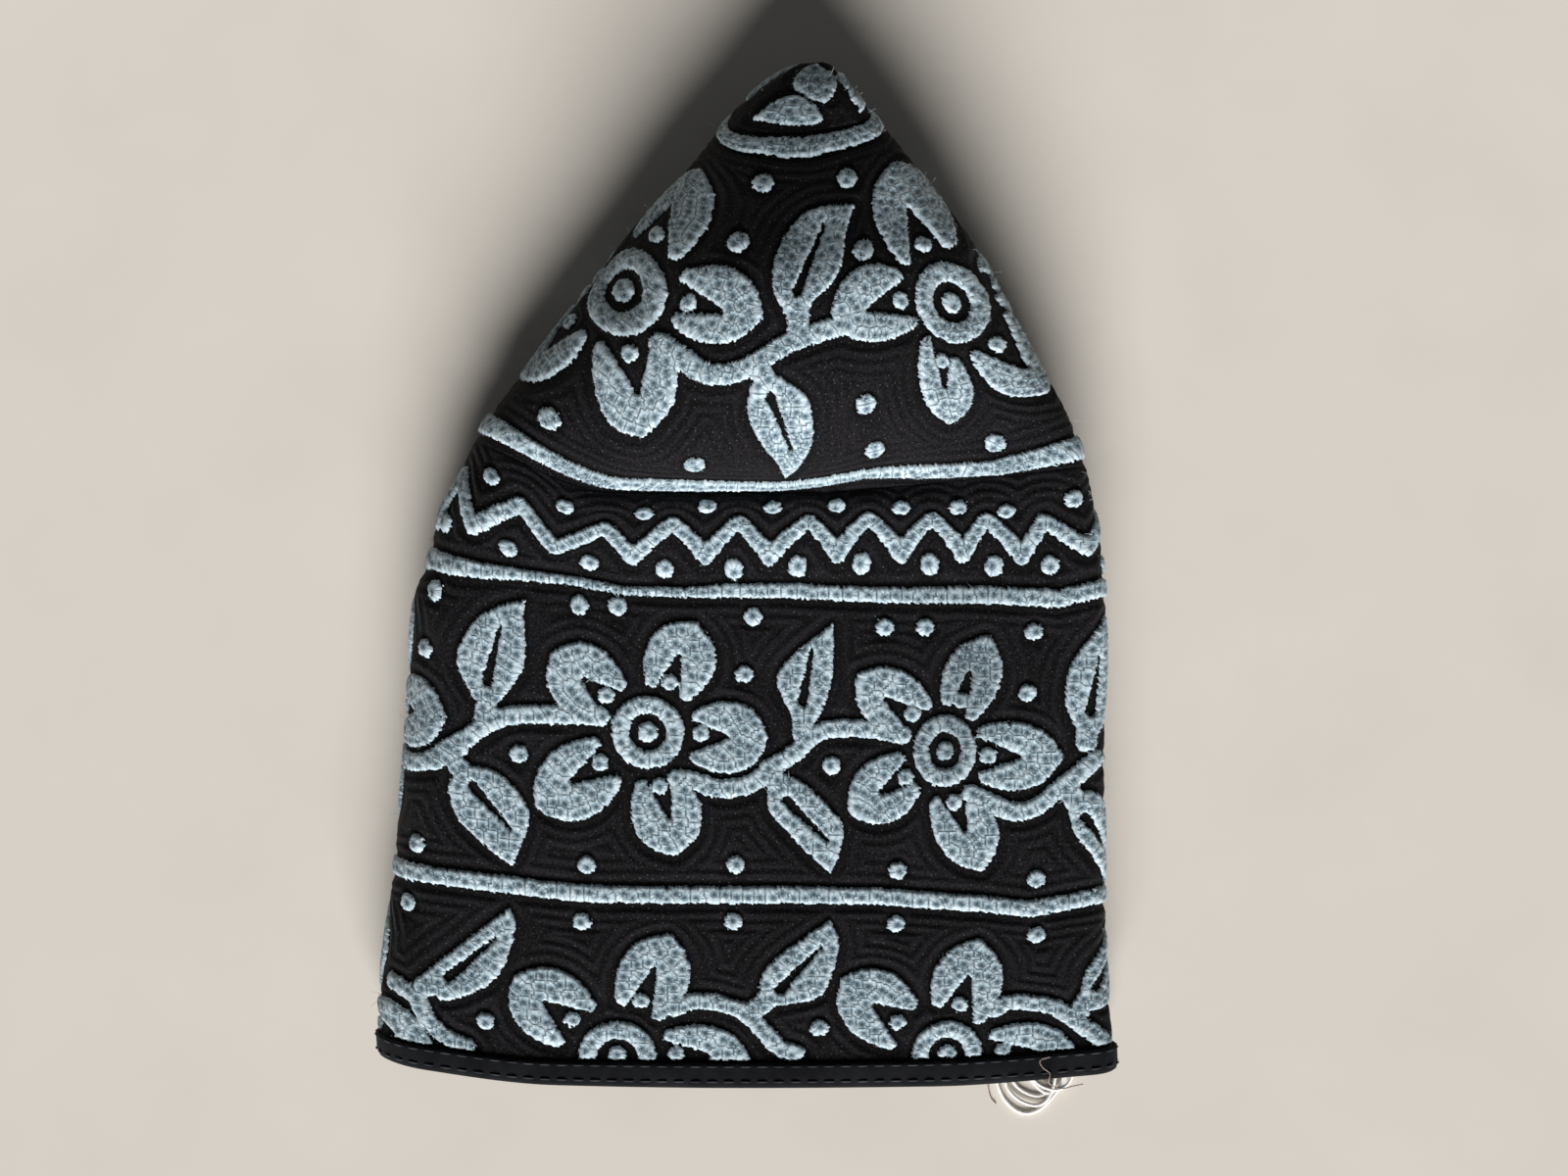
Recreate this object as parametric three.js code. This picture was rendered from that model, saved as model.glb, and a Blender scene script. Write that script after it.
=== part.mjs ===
// An Omani kumma, a round embroidered cotton cap, folded flat in four and lying on its side.
// Millimetres, +Z up. The cap lies with its hem toward -Y and the centre of its crown toward +Y.
// Three pieces: the round crown, the side band that it is sewn to, and the binding round the hem.
import * as THREE from 'three';

// Driving sizes of the cloth
const WALL = 1.8; // quilted and embroidered cotton, all layers together
const HEM_WALL = 1.2; // the band where the binding grips it
const HEM_TAPER_START = 6.5; // distance from the hem edge where the thin part of the band ends
const HEM_TAPER_END = 9.5;
const SEAM_GAP = 0.3; // between pieces that are sewn together
const BINDING_CLOTH = 0.6;
const BINDING_HEIGHT = 5.5;
const BINDING_TURN = 1.2; // how far the binding stands out below the band's cut edge

// Distances along the cloth, from the band's cut edge at the hem to the centre of the crown
const CROWN_SEAM = 117;
const CROWN_CENTRE = 210.6;
const TIP_RING = 196; // past this ring the hollow has ended and the tip closes to a rounded point

// Folding: the cap is pressed in two and then closed like a book, so four layers lie on each other.
// The spine of the book is at -X and the two pressed edges are at +X.
const SPINE_CLEARANCE = 3; // between the outer turn at the spine and the inner one
const MIDDLE_GAP = 1.6; // between the two inner layers
const HEM_MIDDLE_GAP = 1.9; // the same gap at the hem, where the binding needs room
const INNER_TURN_SHARE = 0.33; // most that the inner turn may take of the spine's radius, at the tip
const LEAD_NARROWING = 0.6; // how much the part that leads toward the tip narrows on each side
const LAYER_RISE = { top: 1, second: 0.1, third: 0, bottom: 0 }; // each layer's share of the hump

// The folded cap in sections, each at one distance along the cloth. left and right are the outline's
// X, the five y columns are the section's Y at the left, a quarter, half, three quarters and right.
// lift is the underside's Z, height is that of the folded stack at its edges, hump is what the top
// layer adds in the middle, notch is how deep the book is open, 1 being all the way to the spine,
// and lead is how much further toward +Y the bottom layer lies than the top one.
const COLUMNS = [
  'cloth', 'left', 'right', 'yLeft', 'yNearLeft', 'yMiddle', 'yNearRight', 'yRight',
  'lift', 'height', 'hump', 'notch', 'lead',
];
const SECTIONS = [
  [-1.5, -69.6, 69.2, -90.2, -94.5, -95.0, -94.7, -92.2, 0.6, 22.0, 0.0, 1.0, 0.0],
  [5.0, -69.9, 68.8, -84.6, -88.8, -89.1, -88.7, -86.3, 0.6, 22.0, 0.0, 1.0, 0.0],
  [12.0, -69.5, 67.8, -78.2, -82.3, -82.7, -82.4, -80.5, 0.0, 22.3, 0.2, 1.0, 0.0],
  [36.0, -66.9, 67.2, -55.6, -59.8, -61.0, -61.5, -60.6, 0.0, 22.0, 0.5, 1.0, 0.0],
  [65.0, -64.5, 67.0, -27.0, -31.0, -32.0, -32.5, -31.5, 0.0, 22.5, 0.6, 1.0, 0.0],
  [86.0, -63.2, 67.4, -6.0, -9.8, -11.6, -12.0, -10.8, 0.0, 22.8, 0.7, 1.0, 0.0],
  [94.0, -60.4, 67.1, 2.7, -1.6, -3.8, -4.2, -2.9, 0.0, 23.0, 0.8, 1.0, 0.0],
  [103.6, -57.6, 66.1, 12.9, 6.4, 6.8, 6.8, 6.8, 0.0, 23.3, 2.8, 1.0, 0.0],
  [111.2, -53.9, 64.5, 19.5, 11.8, 12.2, 12.3, 14.7, 0.0, 23.6, 3.0, 1.0, 0.0],
  [117.0, -51.5, 63.4, 24.9, 14.6, 14.4, 16.6, 19.7, 0.0, 24.0, 0.8, 1.0, 0.0],
  [120.6, -49.9, 62.4, 28.4, 16.6, 16.2, 18.9, 23.8, 0.0, 24.2, 2.4, 1.0, 0.0],
  [124.6, -47.4, 60.8, 31.3, 18.7, 18.0, 21.7, 27.4, 0.0, 24.5, 5.2, 1.0, 0.6],
  [130.0, -43.8, 58.4, 35.7, 21.2, 19.9, 25.1, 32.3, 0.0, 25.0, 8.8, 1.0, 3.0],
  [138.7, -37.8, 54.9, 43.5, 29.0, 26.5, 31.4, 38.2, 0.0, 25.5, 13.9, 1.0, 5.0],
  [150.7, -30.3, 49.3, 52.7, 40.6, 37.1, 41.9, 48.6, 0.4, 26.0, 17.1, 1.0, 6.5],
  [160.7, -24.0, 44.3, 60.7, 50.4, 46.9, 51.3, 57.5, 1.6, 26.0, 16.5, 1.0, 7.5],
  [177.7, -13.2, 33.8, 71.4, 66.0, 62.6, 66.0, 71.3, 5.0, 24.0, 9.0, 1.0, 9.0],
  [196.0, -5.3, 24.3, 80.4, 80.2, 80.0, 80.7, 82.8, 10.5, 17.5, 1.8, 0.85, 10.5],
];

// The centre of the crown, on the tip's upper side, and which way the cloth faces there. From the
// tip's ring inward the tip narrows at once and rises late, which makes it round.
const CROWN_POLE = new THREE.Vector3(13.2, 93.2, 25.5);
const POLE_TILT = THREE.MathUtils.degToRad(28);
const TIP_FULLNESS = 0.35;
const TIP_RISE_POWER = 1.6;

// Sections that each piece's faces are drawn through, with the hem's and the seam's own edges added
const BAND_STATIONS = [6.5, 9.5, 20, 33.8, 36, 38.2, 55, 75, 91.8, 94, 96.2, 103.6, 111.2, 114.3];
const CROWN_STATIONS = [118.4, 120.6, 122.8, 126, 131, 138.7, 147, 157, 167, 177.7, 188];
const TIP_STATIONS = [199.5, 203, 206, 208.6];

// Brings the middle of the cap's footprint to the origin
const FOOTPRINT_SHIFT = new THREE.Vector3(0.451, 0.069, 0);

// Raised stripes of embroidery that ring the cap, which stand out of the wall
const STRIPE_CENTRES = [36, 94, 120.6];
const STRIPE_HEIGHT = 0.5;

// Faces along each stretch of the fold. The layers that face each other have the same number.
const SPINE_STEPS = 4;
const LAYER_STEPS = 12;
const EDGE_STEPS = 6;
const INNER_STEPS = 4;
const INNER_LAYER_STEPS = LAYER_STEPS + SPINE_STEPS - INNER_STEPS / 2;

const BLACK_COTTON = new THREE.MeshStandardMaterial({ color: '#1e1b1c', roughness: 0.9, metalness: 0 });
const BLACK_BINDING = new THREE.MeshStandardMaterial({ color: '#171616', roughness: 0.85, metalness: 0 });

// A smooth curve through the given points that never overshoots them
function smoothThrough(xs, ys) {
  const slopes = xs.slice(1).map((x, i) => (ys[i + 1] - ys[i]) / (x - xs[i]));
  const tangents = xs.map((_, i) => {
    if (i === 0) return slopes[0];
    if (i === xs.length - 1) return slopes[i - 1];
    const [before, after] = [slopes[i - 1], slopes[i]];
    return before * after <= 0 ? 0 : (2 * before * after) / (before + after);
  });
  return (x) => {
    const last = xs.length - 2;
    const i = Math.min(last, Math.max(0, xs.findIndex((_, k) => k === last || x < xs[k + 1])));
    const span = xs[i + 1] - xs[i];
    const s = (x - xs[i]) / span;
    const s2 = s * s;
    const s3 = s2 * s;
    return (2 * s3 - 3 * s2 + 1) * ys[i] + (s3 - 2 * s2 + s) * span * tangents[i]
      + (3 * s2 - 2 * s3) * ys[i + 1] + (s3 - s2) * span * tangents[i + 1];
  };
}

const clothStations = SECTIONS.map((row) => row[0]);
const columnCurves = COLUMNS.slice(1).map((name, i) => (
  [name, smoothThrough(clothStations, SECTIONS.map((row) => row[i + 1]))]
));

function sectionSizes(cloth) {
  const sizes = Object.fromEntries(columnCurves.map(([name, curve]) => [name, curve(cloth)]));
  const hemShare = THREE.MathUtils.smoothstep(cloth, HEM_TAPER_START, HEM_TAPER_END);
  sizes.gap = THREE.MathUtils.lerp(HEM_MIDDLE_GAP, MIDDLE_GAP, hemShare);
  return sizes;
}

// The middle of the wall in one section: a closed line from the spine over the top layer, round the
// upper edge, back to the inner turn, out again, round the lower edge and back along the bottom.
function foldedSection(cloth) {
  const size = sectionSizes(cloth);
  const topZ = size.lift + size.height - WALL / 2;
  const bottomZ = size.lift + WALL / 2;
  const middleZ = (topZ + bottomZ) / 2;
  const spineRadius = (topZ - bottomZ) / 2;
  const innerRadius = Math.min((size.gap + WALL) / 2, spineRadius * INNER_TURN_SHARE);
  const edgeRadius = (spineRadius - innerRadius) / 2;
  const spineX = size.left + WALL / 2 + spineRadius;
  const edgeX = size.right - WALL / 2 - edgeRadius;
  const deepestX = size.left + 1.5 * WALL + SPINE_CLEARANCE + innerRadius;
  const innerX = THREE.MathUtils.lerp(edgeX, Math.min(deepestX, edgeX), size.notch);

  const line = [];
  const arc = (x, z, radius, from, to, steps, rise) => {
    for (let k = 0; k < steps; k += 1) {
      const angle = THREE.MathUtils.degToRad(THREE.MathUtils.lerp(from, to, k / steps));
      line.push({ x: x + radius * Math.cos(angle), z: z + radius * Math.sin(angle), rise: rise(k / steps) });
    }
  };
  const straight = (x0, x1, z, steps, share) => {
    for (let k = 0; k < steps; k += 1) {
      line.push({ x: THREE.MathUtils.lerp(x0, x1, k / steps), z, rise: share });
    }
  };
  const { top, second, third, bottom } = LAYER_RISE;
  const between = (a, b) => (s) => THREE.MathUtils.lerp(a, b, s);
  arc(spineX, middleZ, spineRadius, 180, 90, SPINE_STEPS, between((top + bottom) / 2, top));
  straight(spineX, edgeX, topZ, LAYER_STEPS, top);
  arc(edgeX, topZ - edgeRadius, edgeRadius, 90, -90, EDGE_STEPS, between(top, second));
  straight(edgeX, innerX, middleZ + innerRadius, INNER_LAYER_STEPS, second);
  arc(innerX, middleZ, innerRadius, 90, 270, INNER_STEPS, between(second, third));
  straight(innerX, edgeX, middleZ - innerRadius, INNER_LAYER_STEPS, third);
  arc(edgeX, bottomZ + edgeRadius, edgeRadius, 90, -90, EDGE_STEPS, between(third, bottom));
  straight(edgeX, spineX, bottomZ, LAYER_STEPS, bottom);
  arc(spineX, middleZ, spineRadius, 270, 180, SPINE_STEPS, between(bottom, (top + bottom) / 2));

  const yAcross = smoothThrough(
    [0, 0.25, 0.5, 0.75, 1],
    [size.yLeft, size.yNearLeft, size.yMiddle, size.yNearRight, size.yRight],
  );
  return line.map(({ x, z, rise }) => {
    const across = THREE.MathUtils.clamp((x - size.left) / (size.right - size.left), 0, 1);
    const hump = size.hump * Math.sin(Math.PI * across);
    const lead = (size.lead * (topZ - z)) / (topZ - bottomZ);
    const narrowing = LEAD_NARROWING * lead * (1 - 2 * across);
    return new THREE.Vector3(x + narrowing, yAcross(across) + lead, z + rise * hump);
  });
}

// How much of the tip is left at a distance along the cloth: 1 at its ring and 0 at the crown's centre
const tipShare = (cloth) => (CROWN_CENTRE - Math.max(cloth, TIP_RING)) / (CROWN_CENTRE - TIP_RING);

function foldLine(cloth) {
  if (cloth <= TIP_RING) return foldedSection(cloth);
  const share = tipShare(cloth);
  const facing = new THREE.Vector3(0, Math.sin(POLE_TILT), Math.cos(POLE_TILT));
  const spread = share * (1 + TIP_FULLNESS * (1 - share));
  return foldedSection(TIP_RING).map((point) => {
    const sideways = point.sub(CROWN_POLE);
    const drop = sideways.dot(facing);
    sideways.addScaledVector(facing, -drop);
    return CROWN_POLE.clone().addScaledVector(sideways, spread)
      .addScaledVector(facing, drop * share ** TIP_RISE_POWER);
  });
}

// The way out of the cap at each point of a section, square to the cloth. The two edges that meet at
// the crown's seam share one direction, so that they stay parallel.
function outwardDirections(cloth) {
  const step = 0.4;
  const at = Math.abs(cloth - CROWN_SEAM) < SEAM_GAP ? CROWN_SEAM : cloth;
  const line = foldLine(at);
  const before = foldLine(at - step);
  const after = foldLine(at + step);
  return line.map((_, i) => {
    const along = line[(i + 1) % line.length].clone().sub(line[(i + line.length - 1) % line.length]);
    const up = after[i].clone().sub(before[i]);
    return along.cross(up).normalize();
  });
}

// A line beside the cloth's own, on its outer side where offset is positive. The surface that the cap
// lies on presses it flat.
function offsetLine(cloth, offset) {
  const outward = outwardDirections(cloth);
  return foldLine(cloth).map((point, i) => {
    point.addScaledVector(outward[i], offset);
    return point.setZ(Math.max(0, point.z));
  });
}

const stripeHeight = (cloth) => (STRIPE_CENTRES.includes(cloth) ? STRIPE_HEIGHT : 0);

function wallThickness(cloth) {
  return THREE.MathUtils.lerp(
    HEM_WALL, WALL, THREE.MathUtils.smoothstep(cloth, HEM_TAPER_START, HEM_TAPER_END),
  );
}

const outerRing = (cloth) => (
  offsetLine(cloth, (wallThickness(cloth) / 2) * tipShare(cloth) + stripeHeight(cloth))
);
const innerRing = (cloth) => offsetLine(cloth, -wallThickness(cloth) / 2);

// Collects rings of points and the faces between them
class Shell {
  constructor() {
    this.positions = [];
    this.indices = [];
  }

  ring(points) {
    const start = this.positions.length / 3;
    points.forEach((point) => this.positions.push(point.x, point.y, point.z));
    return points.map((_, i) => start + i);
  }

  triangle(a, b, c) {
    this.indices.push(a, b, c);
  }

  join(low, high) {
    low.forEach((a, i) => {
      const next = (i + 1) % low.length;
      this.triangle(a, low[next], high[i]);
      this.triangle(low[next], high[next], high[i]);
    });
  }

  // Closes the flat hollow between the outer layers and the inner ones that face them
  closeHollow(ring) {
    const count = ring.length;
    const first = SPINE_STEPS + LAYER_STEPS + EDGE_STEPS / 2;
    const half = (count - 1) / 2;
    for (let k = 0; k < half; k += 1) {
      const inner = [ring[(first + k) % count], ring[(first + k + 1) % count]];
      const outer = [ring[(first - k + count) % count], ring[(first - k - 1 + count) % count]];
      if (k > 0) this.triangle(inner[0], outer[0], inner[1]);
      if (inner[1] !== outer[1]) this.triangle(inner[1], outer[0], outer[1]);
    }
  }

  mesh(name, material) {
    const geometry = new THREE.BufferGeometry();
    geometry.setAttribute('position', new THREE.Float32BufferAttribute(this.positions, 3));
    geometry.setIndex(this.indices);
    geometry.computeVertexNormals();
    const mesh = new THREE.Mesh(geometry, material);
    mesh.name = name;
    mesh.position.copy(FOOTPRINT_SHIFT);
    return mesh;
  }
}

function buildBand() {
  const shell = new Shell();
  const stations = [0, ...BAND_STATIONS, CROWN_SEAM - SEAM_GAP / 2];
  const outer = stations.map((cloth) => shell.ring(outerRing(cloth)));
  const inner = stations.map((cloth) => shell.ring(innerRing(cloth)));
  const rings = [...inner.reverse(), ...outer];
  rings.forEach((ring, i) => shell.join(ring, rings[(i + 1) % rings.length]));
  return shell.mesh('side_band', BLACK_COTTON);
}

function buildCrown() {
  const shell = new Shell();
  const lined = [CROWN_SEAM + SEAM_GAP / 2, ...CROWN_STATIONS, TIP_RING];
  const inner = lined.map((cloth) => shell.ring(innerRing(cloth)));
  const outer = [...lined, ...TIP_STATIONS].map((cloth) => shell.ring(outerRing(cloth)));
  const rings = [...inner.reverse(), ...outer];
  rings.slice(1).forEach((ring, i) => shell.join(rings[i], ring));
  shell.closeHollow(rings[0]);
  const lastRing = rings[rings.length - 1];
  const [pole] = shell.ring([CROWN_POLE]);
  lastRing.forEach((a, i) => shell.triangle(a, lastRing[(i + 1) % lastRing.length], pole));
  return shell.mesh('crown', BLACK_COTTON);
}

// The binding is a folded strip: up the outside of the band, round its cut edge and up the inside
function buildBinding() {
  const shell = new Shell();
  const grip = HEM_WALL / 2 + SEAM_GAP;
  const skin = grip + BINDING_CLOTH;
  const profile = [
    [BINDING_HEIGHT, -grip],
    [BINDING_HEIGHT, -skin],
    [2.5, -skin],
    [-0.6, -skin + 0.15],
    [-BINDING_TURN, -grip + 0.2],
    [-BINDING_TURN, grip - 0.2],
    [-0.6, skin - 0.15],
    [2.5, skin],
    [BINDING_HEIGHT, skin],
    [BINDING_HEIGHT, grip],
    [-SEAM_GAP, grip],
    [-SEAM_GAP, -grip],
  ];
  const rings = profile.map(([cloth, offset]) => shell.ring(offsetLine(cloth, offset)));
  rings.forEach((ring, i) => shell.join(ring, rings[(i + 1) % rings.length]));
  return shell.mesh('hem_binding', BLACK_BINDING);
}

const kumma = new THREE.Group();
kumma.add(buildCrown(), buildBand(), buildBinding());

export default kumma;
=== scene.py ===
"""An Omani kumma, a round cotton cap folded flat in four and lying on its side.

Black quilted cotton, dense grey-blue embroidery and a plain black binding round the hem. The cap's own
tables are in millimetres, and Blender's meshes in metres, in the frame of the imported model.

Two charts describe the cloth before it is folded. The band's chart has the distance round the cap and
the distance up from the hem. The crown's chart is its flat disc, with its centre at (0, 0).
"""

from __future__ import annotations

import logging
import math
from abc import ABC, abstractmethod
from dataclasses import dataclass, field, fields, replace
from enum import Enum
from typing import Any, Callable, Sequence

import bmesh
import bpy
import numpy as np
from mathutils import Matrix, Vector
from mathutils.kdtree import KDTree

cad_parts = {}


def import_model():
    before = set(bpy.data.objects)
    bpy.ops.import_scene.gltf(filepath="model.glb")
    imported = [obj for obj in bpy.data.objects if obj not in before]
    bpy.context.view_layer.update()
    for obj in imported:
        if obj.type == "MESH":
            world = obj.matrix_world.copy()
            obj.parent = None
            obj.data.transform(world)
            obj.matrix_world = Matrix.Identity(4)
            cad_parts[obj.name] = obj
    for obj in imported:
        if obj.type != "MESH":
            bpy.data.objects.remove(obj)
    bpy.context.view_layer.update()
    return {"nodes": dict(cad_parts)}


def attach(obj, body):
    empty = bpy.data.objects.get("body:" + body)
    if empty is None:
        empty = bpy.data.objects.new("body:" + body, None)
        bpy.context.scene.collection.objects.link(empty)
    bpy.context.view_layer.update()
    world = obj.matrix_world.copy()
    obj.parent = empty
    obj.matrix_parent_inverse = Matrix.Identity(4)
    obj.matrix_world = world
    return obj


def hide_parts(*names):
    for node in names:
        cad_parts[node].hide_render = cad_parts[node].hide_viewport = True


LOG = logging.getLogger("kumma")
Array = np.ndarray
Pair = tuple[float, float]
Triple = tuple[float, float, float]
Piece = bpy.types.Object
Material = bpy.types.Material
NodeTree = bpy.types.NodeTree

MM = 0.001  # metres in a millimetre
CHART_UNIT = 100.0  # millimetres of cloth in one unit of the charts' UV map
FOOTPRINT_SHIFT = np.array([0.451, 0.069, 0.0])  # from the folding tables to the frame, in mm

# Distances along the cloth, from the band's cut edge at the hem to the centre of the crown
CROWN_SEAM = 117.0
CROWN_CENTRE = 210.6
TIP_RING = 196.0
SEAM_HALF_GAP = 0.02
BAND_PERIOD = 570.0  # once round the band's chart
BINDING_HEIGHT = 2.95
STITCH_SWELL = 0.2  # how far the stitches spread beyond the charted borders
LOWEST_STITCH = 3.4  # where the embroidery ends, above the binding

# Heights over the cloth's face
THREAD_RISE = 0.55  # the embroidery's highest part
THREAD_FOOT = -0.42  # its border, which sinks into the groove round each motif
FLOOR_CLEARANCE = 0.02  # lowest that the embroidery lies
CLOTH_CLEARANCE = 0.45  # lowest that the cloth between the motifs lies
FAR = 9.0  # a distance past which no motif shapes the cloth

# Places round the folded section
PRESSED_EDGE = 2.5  # the middle of the upper pressed edge's turn
EDGES_APART = 4.0  # from there to the middle of the lower one's turn


def linear(code: str) -> tuple[float, float, float, float]:
    """Turns an sRGB hex colour into linear RGBA.

    Args:
        code: six hex digits.

    Returns:
        Linear red, green and blue, and an alpha of 1.
    """
    parts = [int(code[i : i + 2], 16) / 255 for i in (0, 2, 4)]
    red, green, blue = (p / 12.92 if p <= 0.04045 else ((p + 0.055) / 1.055) ** 2.4 for p in parts)
    return red, green, blue, 1.0


def ease(value: Array, low: float, high: float) -> Array:
    """Returns 0 below low, 1 above high and a smooth step between them."""
    t = np.clip((value - low) / (high - low), 0, 1)
    return t * t * (3 - 2 * t)


def smooth_through(at: Array, values: Array, wanted: Array) -> Array:
    """Reads a smooth curve that passes through table rows without overshooting.

    Args:
        at: the rows' places, rising, shape (k,).
        values: the values there, shape (k,) or (n, k).
        wanted: the places to read, shape (n,).

    Returns:
        One value for each wanted place.
    """
    values = np.atleast_2d(values)
    slopes = np.diff(values) / np.diff(at)
    before, after = slopes[:, :-1], slopes[:, 1:]
    product = before * after
    total = np.where(product > 0, before + after, 1.0)
    middle = np.where(product > 0, 2 * product / total, 0.0)
    tangents = np.concatenate([slopes[:, :1], middle, slopes[:, -1:]], axis=1)
    row = np.clip(np.searchsorted(at, wanted, side="right") - 1, 0, len(at) - 2)
    span = np.diff(at)[row]
    s = (wanted - at[row]) / span
    line = np.arange(len(wanted)) if len(values) > 1 else np.zeros(len(wanted), int)
    return (
        (2 * s**3 - 3 * s**2 + 1) * values[line, row]
        + (s**3 - 2 * s**2 + s) * span * tangents[line, row]
        + (3 * s**2 - 2 * s**3) * values[line, row + 1]
        + (s**3 - s**2) * span * tangents[line, row + 1]
    )


@dataclass
class Stretch:
    """One stretch of the folded section, either straight or a turn, for many sections at once."""

    start_x: Array
    end_x: Array
    height: Array
    radius: Array | None = None
    start_angle: float = 0.0
    end_angle: float = 0.0
    start_rise: float = 0.0
    end_rise: float = 0.0

    @property
    def length(self) -> Array:
        """The stretch's length along the cloth."""
        if self.radius is None:
            return np.abs(self.end_x - self.start_x)
        return self.radius * math.radians(abs(self.end_angle - self.start_angle))

    def at(self, share: Array, here: Array) -> tuple[Array, Array, Array]:
        """Places points on the stretch.

        Args:
            share: how far along the stretch each point is, from 0 to 1.
            here: which of the sections the points belong to.

        Returns:
            The points' x and z, and their share of the hump.
        """
        rise = self.start_rise + (self.end_rise - self.start_rise) * share
        if self.radius is None:
            x = self.start_x[here] + (self.end_x - self.start_x)[here] * share
            return x, self.height[here] + 0 * share, rise
        angle = np.radians(self.start_angle + (self.end_angle - self.start_angle) * share)
        radius = self.radius[here]
        return self.start_x[here] + radius * np.cos(angle), self.height[here] + radius * np.sin(angle), rise


@dataclass(frozen=True)
class FoldedCap:
    """Where each point of the cap's cloth lies once the cap is folded flat in four.

    A point of the cloth has two coordinates: along, from the hem to the crown's centre in millimetres,
    and around, from 0 to 9 through the nine stretches of the folded section, which starts at the middle
    of the spine and goes over the top.
    """

    wall: float = 1.8
    hem_wall: float = 1.2
    hem_taper: Pair = (6.5, 9.5)
    middle_gap: float = 1.6
    hem_middle_gap: float = 1.9
    spine_clearance: float = 3.0
    inner_turn_share: float = 0.33
    lead_narrowing: float = 0.6
    second_layer_rise: float = 0.1
    pole: Triple = (13.2, 93.2, 25.5)
    pole_tilt: float = math.radians(28)
    tip_fullness: float = 0.35
    tip_rise_power: float = 1.6
    tip_blend: Pair = (3.0, 0.5)  # from the centre, where the tip's own facing takes over
    normal_steps: Pair = (0.4, 0.005)  # along and around, for measuring the slopes
    stretches_in_section: int = 9

    # left and right are the outline's x, the y columns are the section's y at the left, a quarter, half,
    # three quarters and right. lift is the underside's z, height that of the folded stack at its edges,
    # hump what the top layer adds in the middle, notch how deep the book is open, and lead how much
    # further the bottom layer lies than the top one.
    columns: tuple[str, ...] = (
        "cloth", "left", "right", "y_left", "y_near_left", "y_middle", "y_near_right", "y_right",
        "lift", "height", "hump", "notch", "lead",
    )
    sections: tuple[tuple[float, ...], ...] = (
        (-1.5, -69.6, 69.2, -90.2, -94.5, -95.0, -94.7, -92.2, 0.6, 22.0, 0.0, 1.0, 0.0),
        (5.0, -69.9, 68.8, -84.6, -88.8, -89.1, -88.7, -86.3, 0.6, 22.0, 0.0, 1.0, 0.0),
        (12.0, -69.5, 67.8, -78.2, -82.3, -82.7, -82.4, -80.5, 0.0, 22.3, 0.2, 1.0, 0.0),
        (36.0, -66.9, 67.2, -55.6, -59.8, -61.0, -61.5, -60.6, 0.0, 22.0, 0.5, 1.0, 0.0),
        (65.0, -64.5, 67.0, -27.0, -31.0, -32.0, -32.5, -31.5, 0.0, 22.5, 0.6, 1.0, 0.0),
        (86.0, -63.2, 67.4, -6.0, -9.8, -11.6, -12.0, -10.8, 0.0, 22.8, 0.7, 1.0, 0.0),
        (94.0, -60.4, 67.1, 2.7, -1.6, -3.8, -4.2, -2.9, 0.0, 23.0, 0.8, 1.0, 0.0),
        (103.6, -57.6, 66.1, 12.9, 6.4, 6.8, 6.8, 6.8, 0.0, 23.3, 2.8, 1.0, 0.0),
        (111.2, -53.9, 64.5, 19.5, 11.8, 12.2, 12.3, 14.7, 0.0, 23.6, 3.0, 1.0, 0.0),
        (117.0, -51.5, 63.4, 24.9, 14.6, 14.4, 16.6, 19.7, 0.0, 24.0, 0.8, 1.0, 0.0),
        (120.6, -49.9, 62.4, 28.4, 16.6, 16.2, 18.9, 23.8, 0.0, 24.2, 2.4, 1.0, 0.0),
        (124.6, -47.4, 60.8, 31.3, 18.7, 18.0, 21.7, 27.4, 0.0, 24.5, 5.2, 1.0, 0.6),
        (130.0, -43.8, 58.4, 35.7, 21.2, 19.9, 25.1, 32.3, 0.0, 25.0, 8.8, 1.0, 3.0),
        (138.7, -37.8, 54.9, 43.5, 29.0, 26.5, 31.4, 38.2, 0.0, 25.5, 13.9, 1.0, 5.0),
        (150.7, -30.3, 49.3, 52.7, 40.6, 37.1, 41.9, 48.6, 0.4, 26.0, 17.1, 1.0, 6.5),
        (160.7, -24.0, 44.3, 60.7, 50.4, 46.9, 51.3, 57.5, 1.6, 26.0, 16.5, 1.0, 7.5),
        (177.7, -13.2, 33.8, 71.4, 66.0, 62.6, 66.0, 71.3, 5.0, 24.0, 9.0, 1.0, 9.0),
        (196.0, -5.3, 24.3, 80.4, 80.2, 80.0, 80.7, 82.8, 10.5, 17.5, 1.8, 0.85, 10.5),
    )

    def sizes(self, along: Array) -> dict[str, Array]:
        """Reads the table of sections at many distances along the cloth."""
        table = np.array(self.sections)
        rows = {
            name: smooth_through(table[:, 0], table[:, number], along)
            for number, name in enumerate(self.columns)
            if number
        }
        shift = ease(along, *self.hem_taper)
        rows["gap"] = self.hem_middle_gap + (self.middle_gap - self.hem_middle_gap) * shift
        return rows

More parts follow.
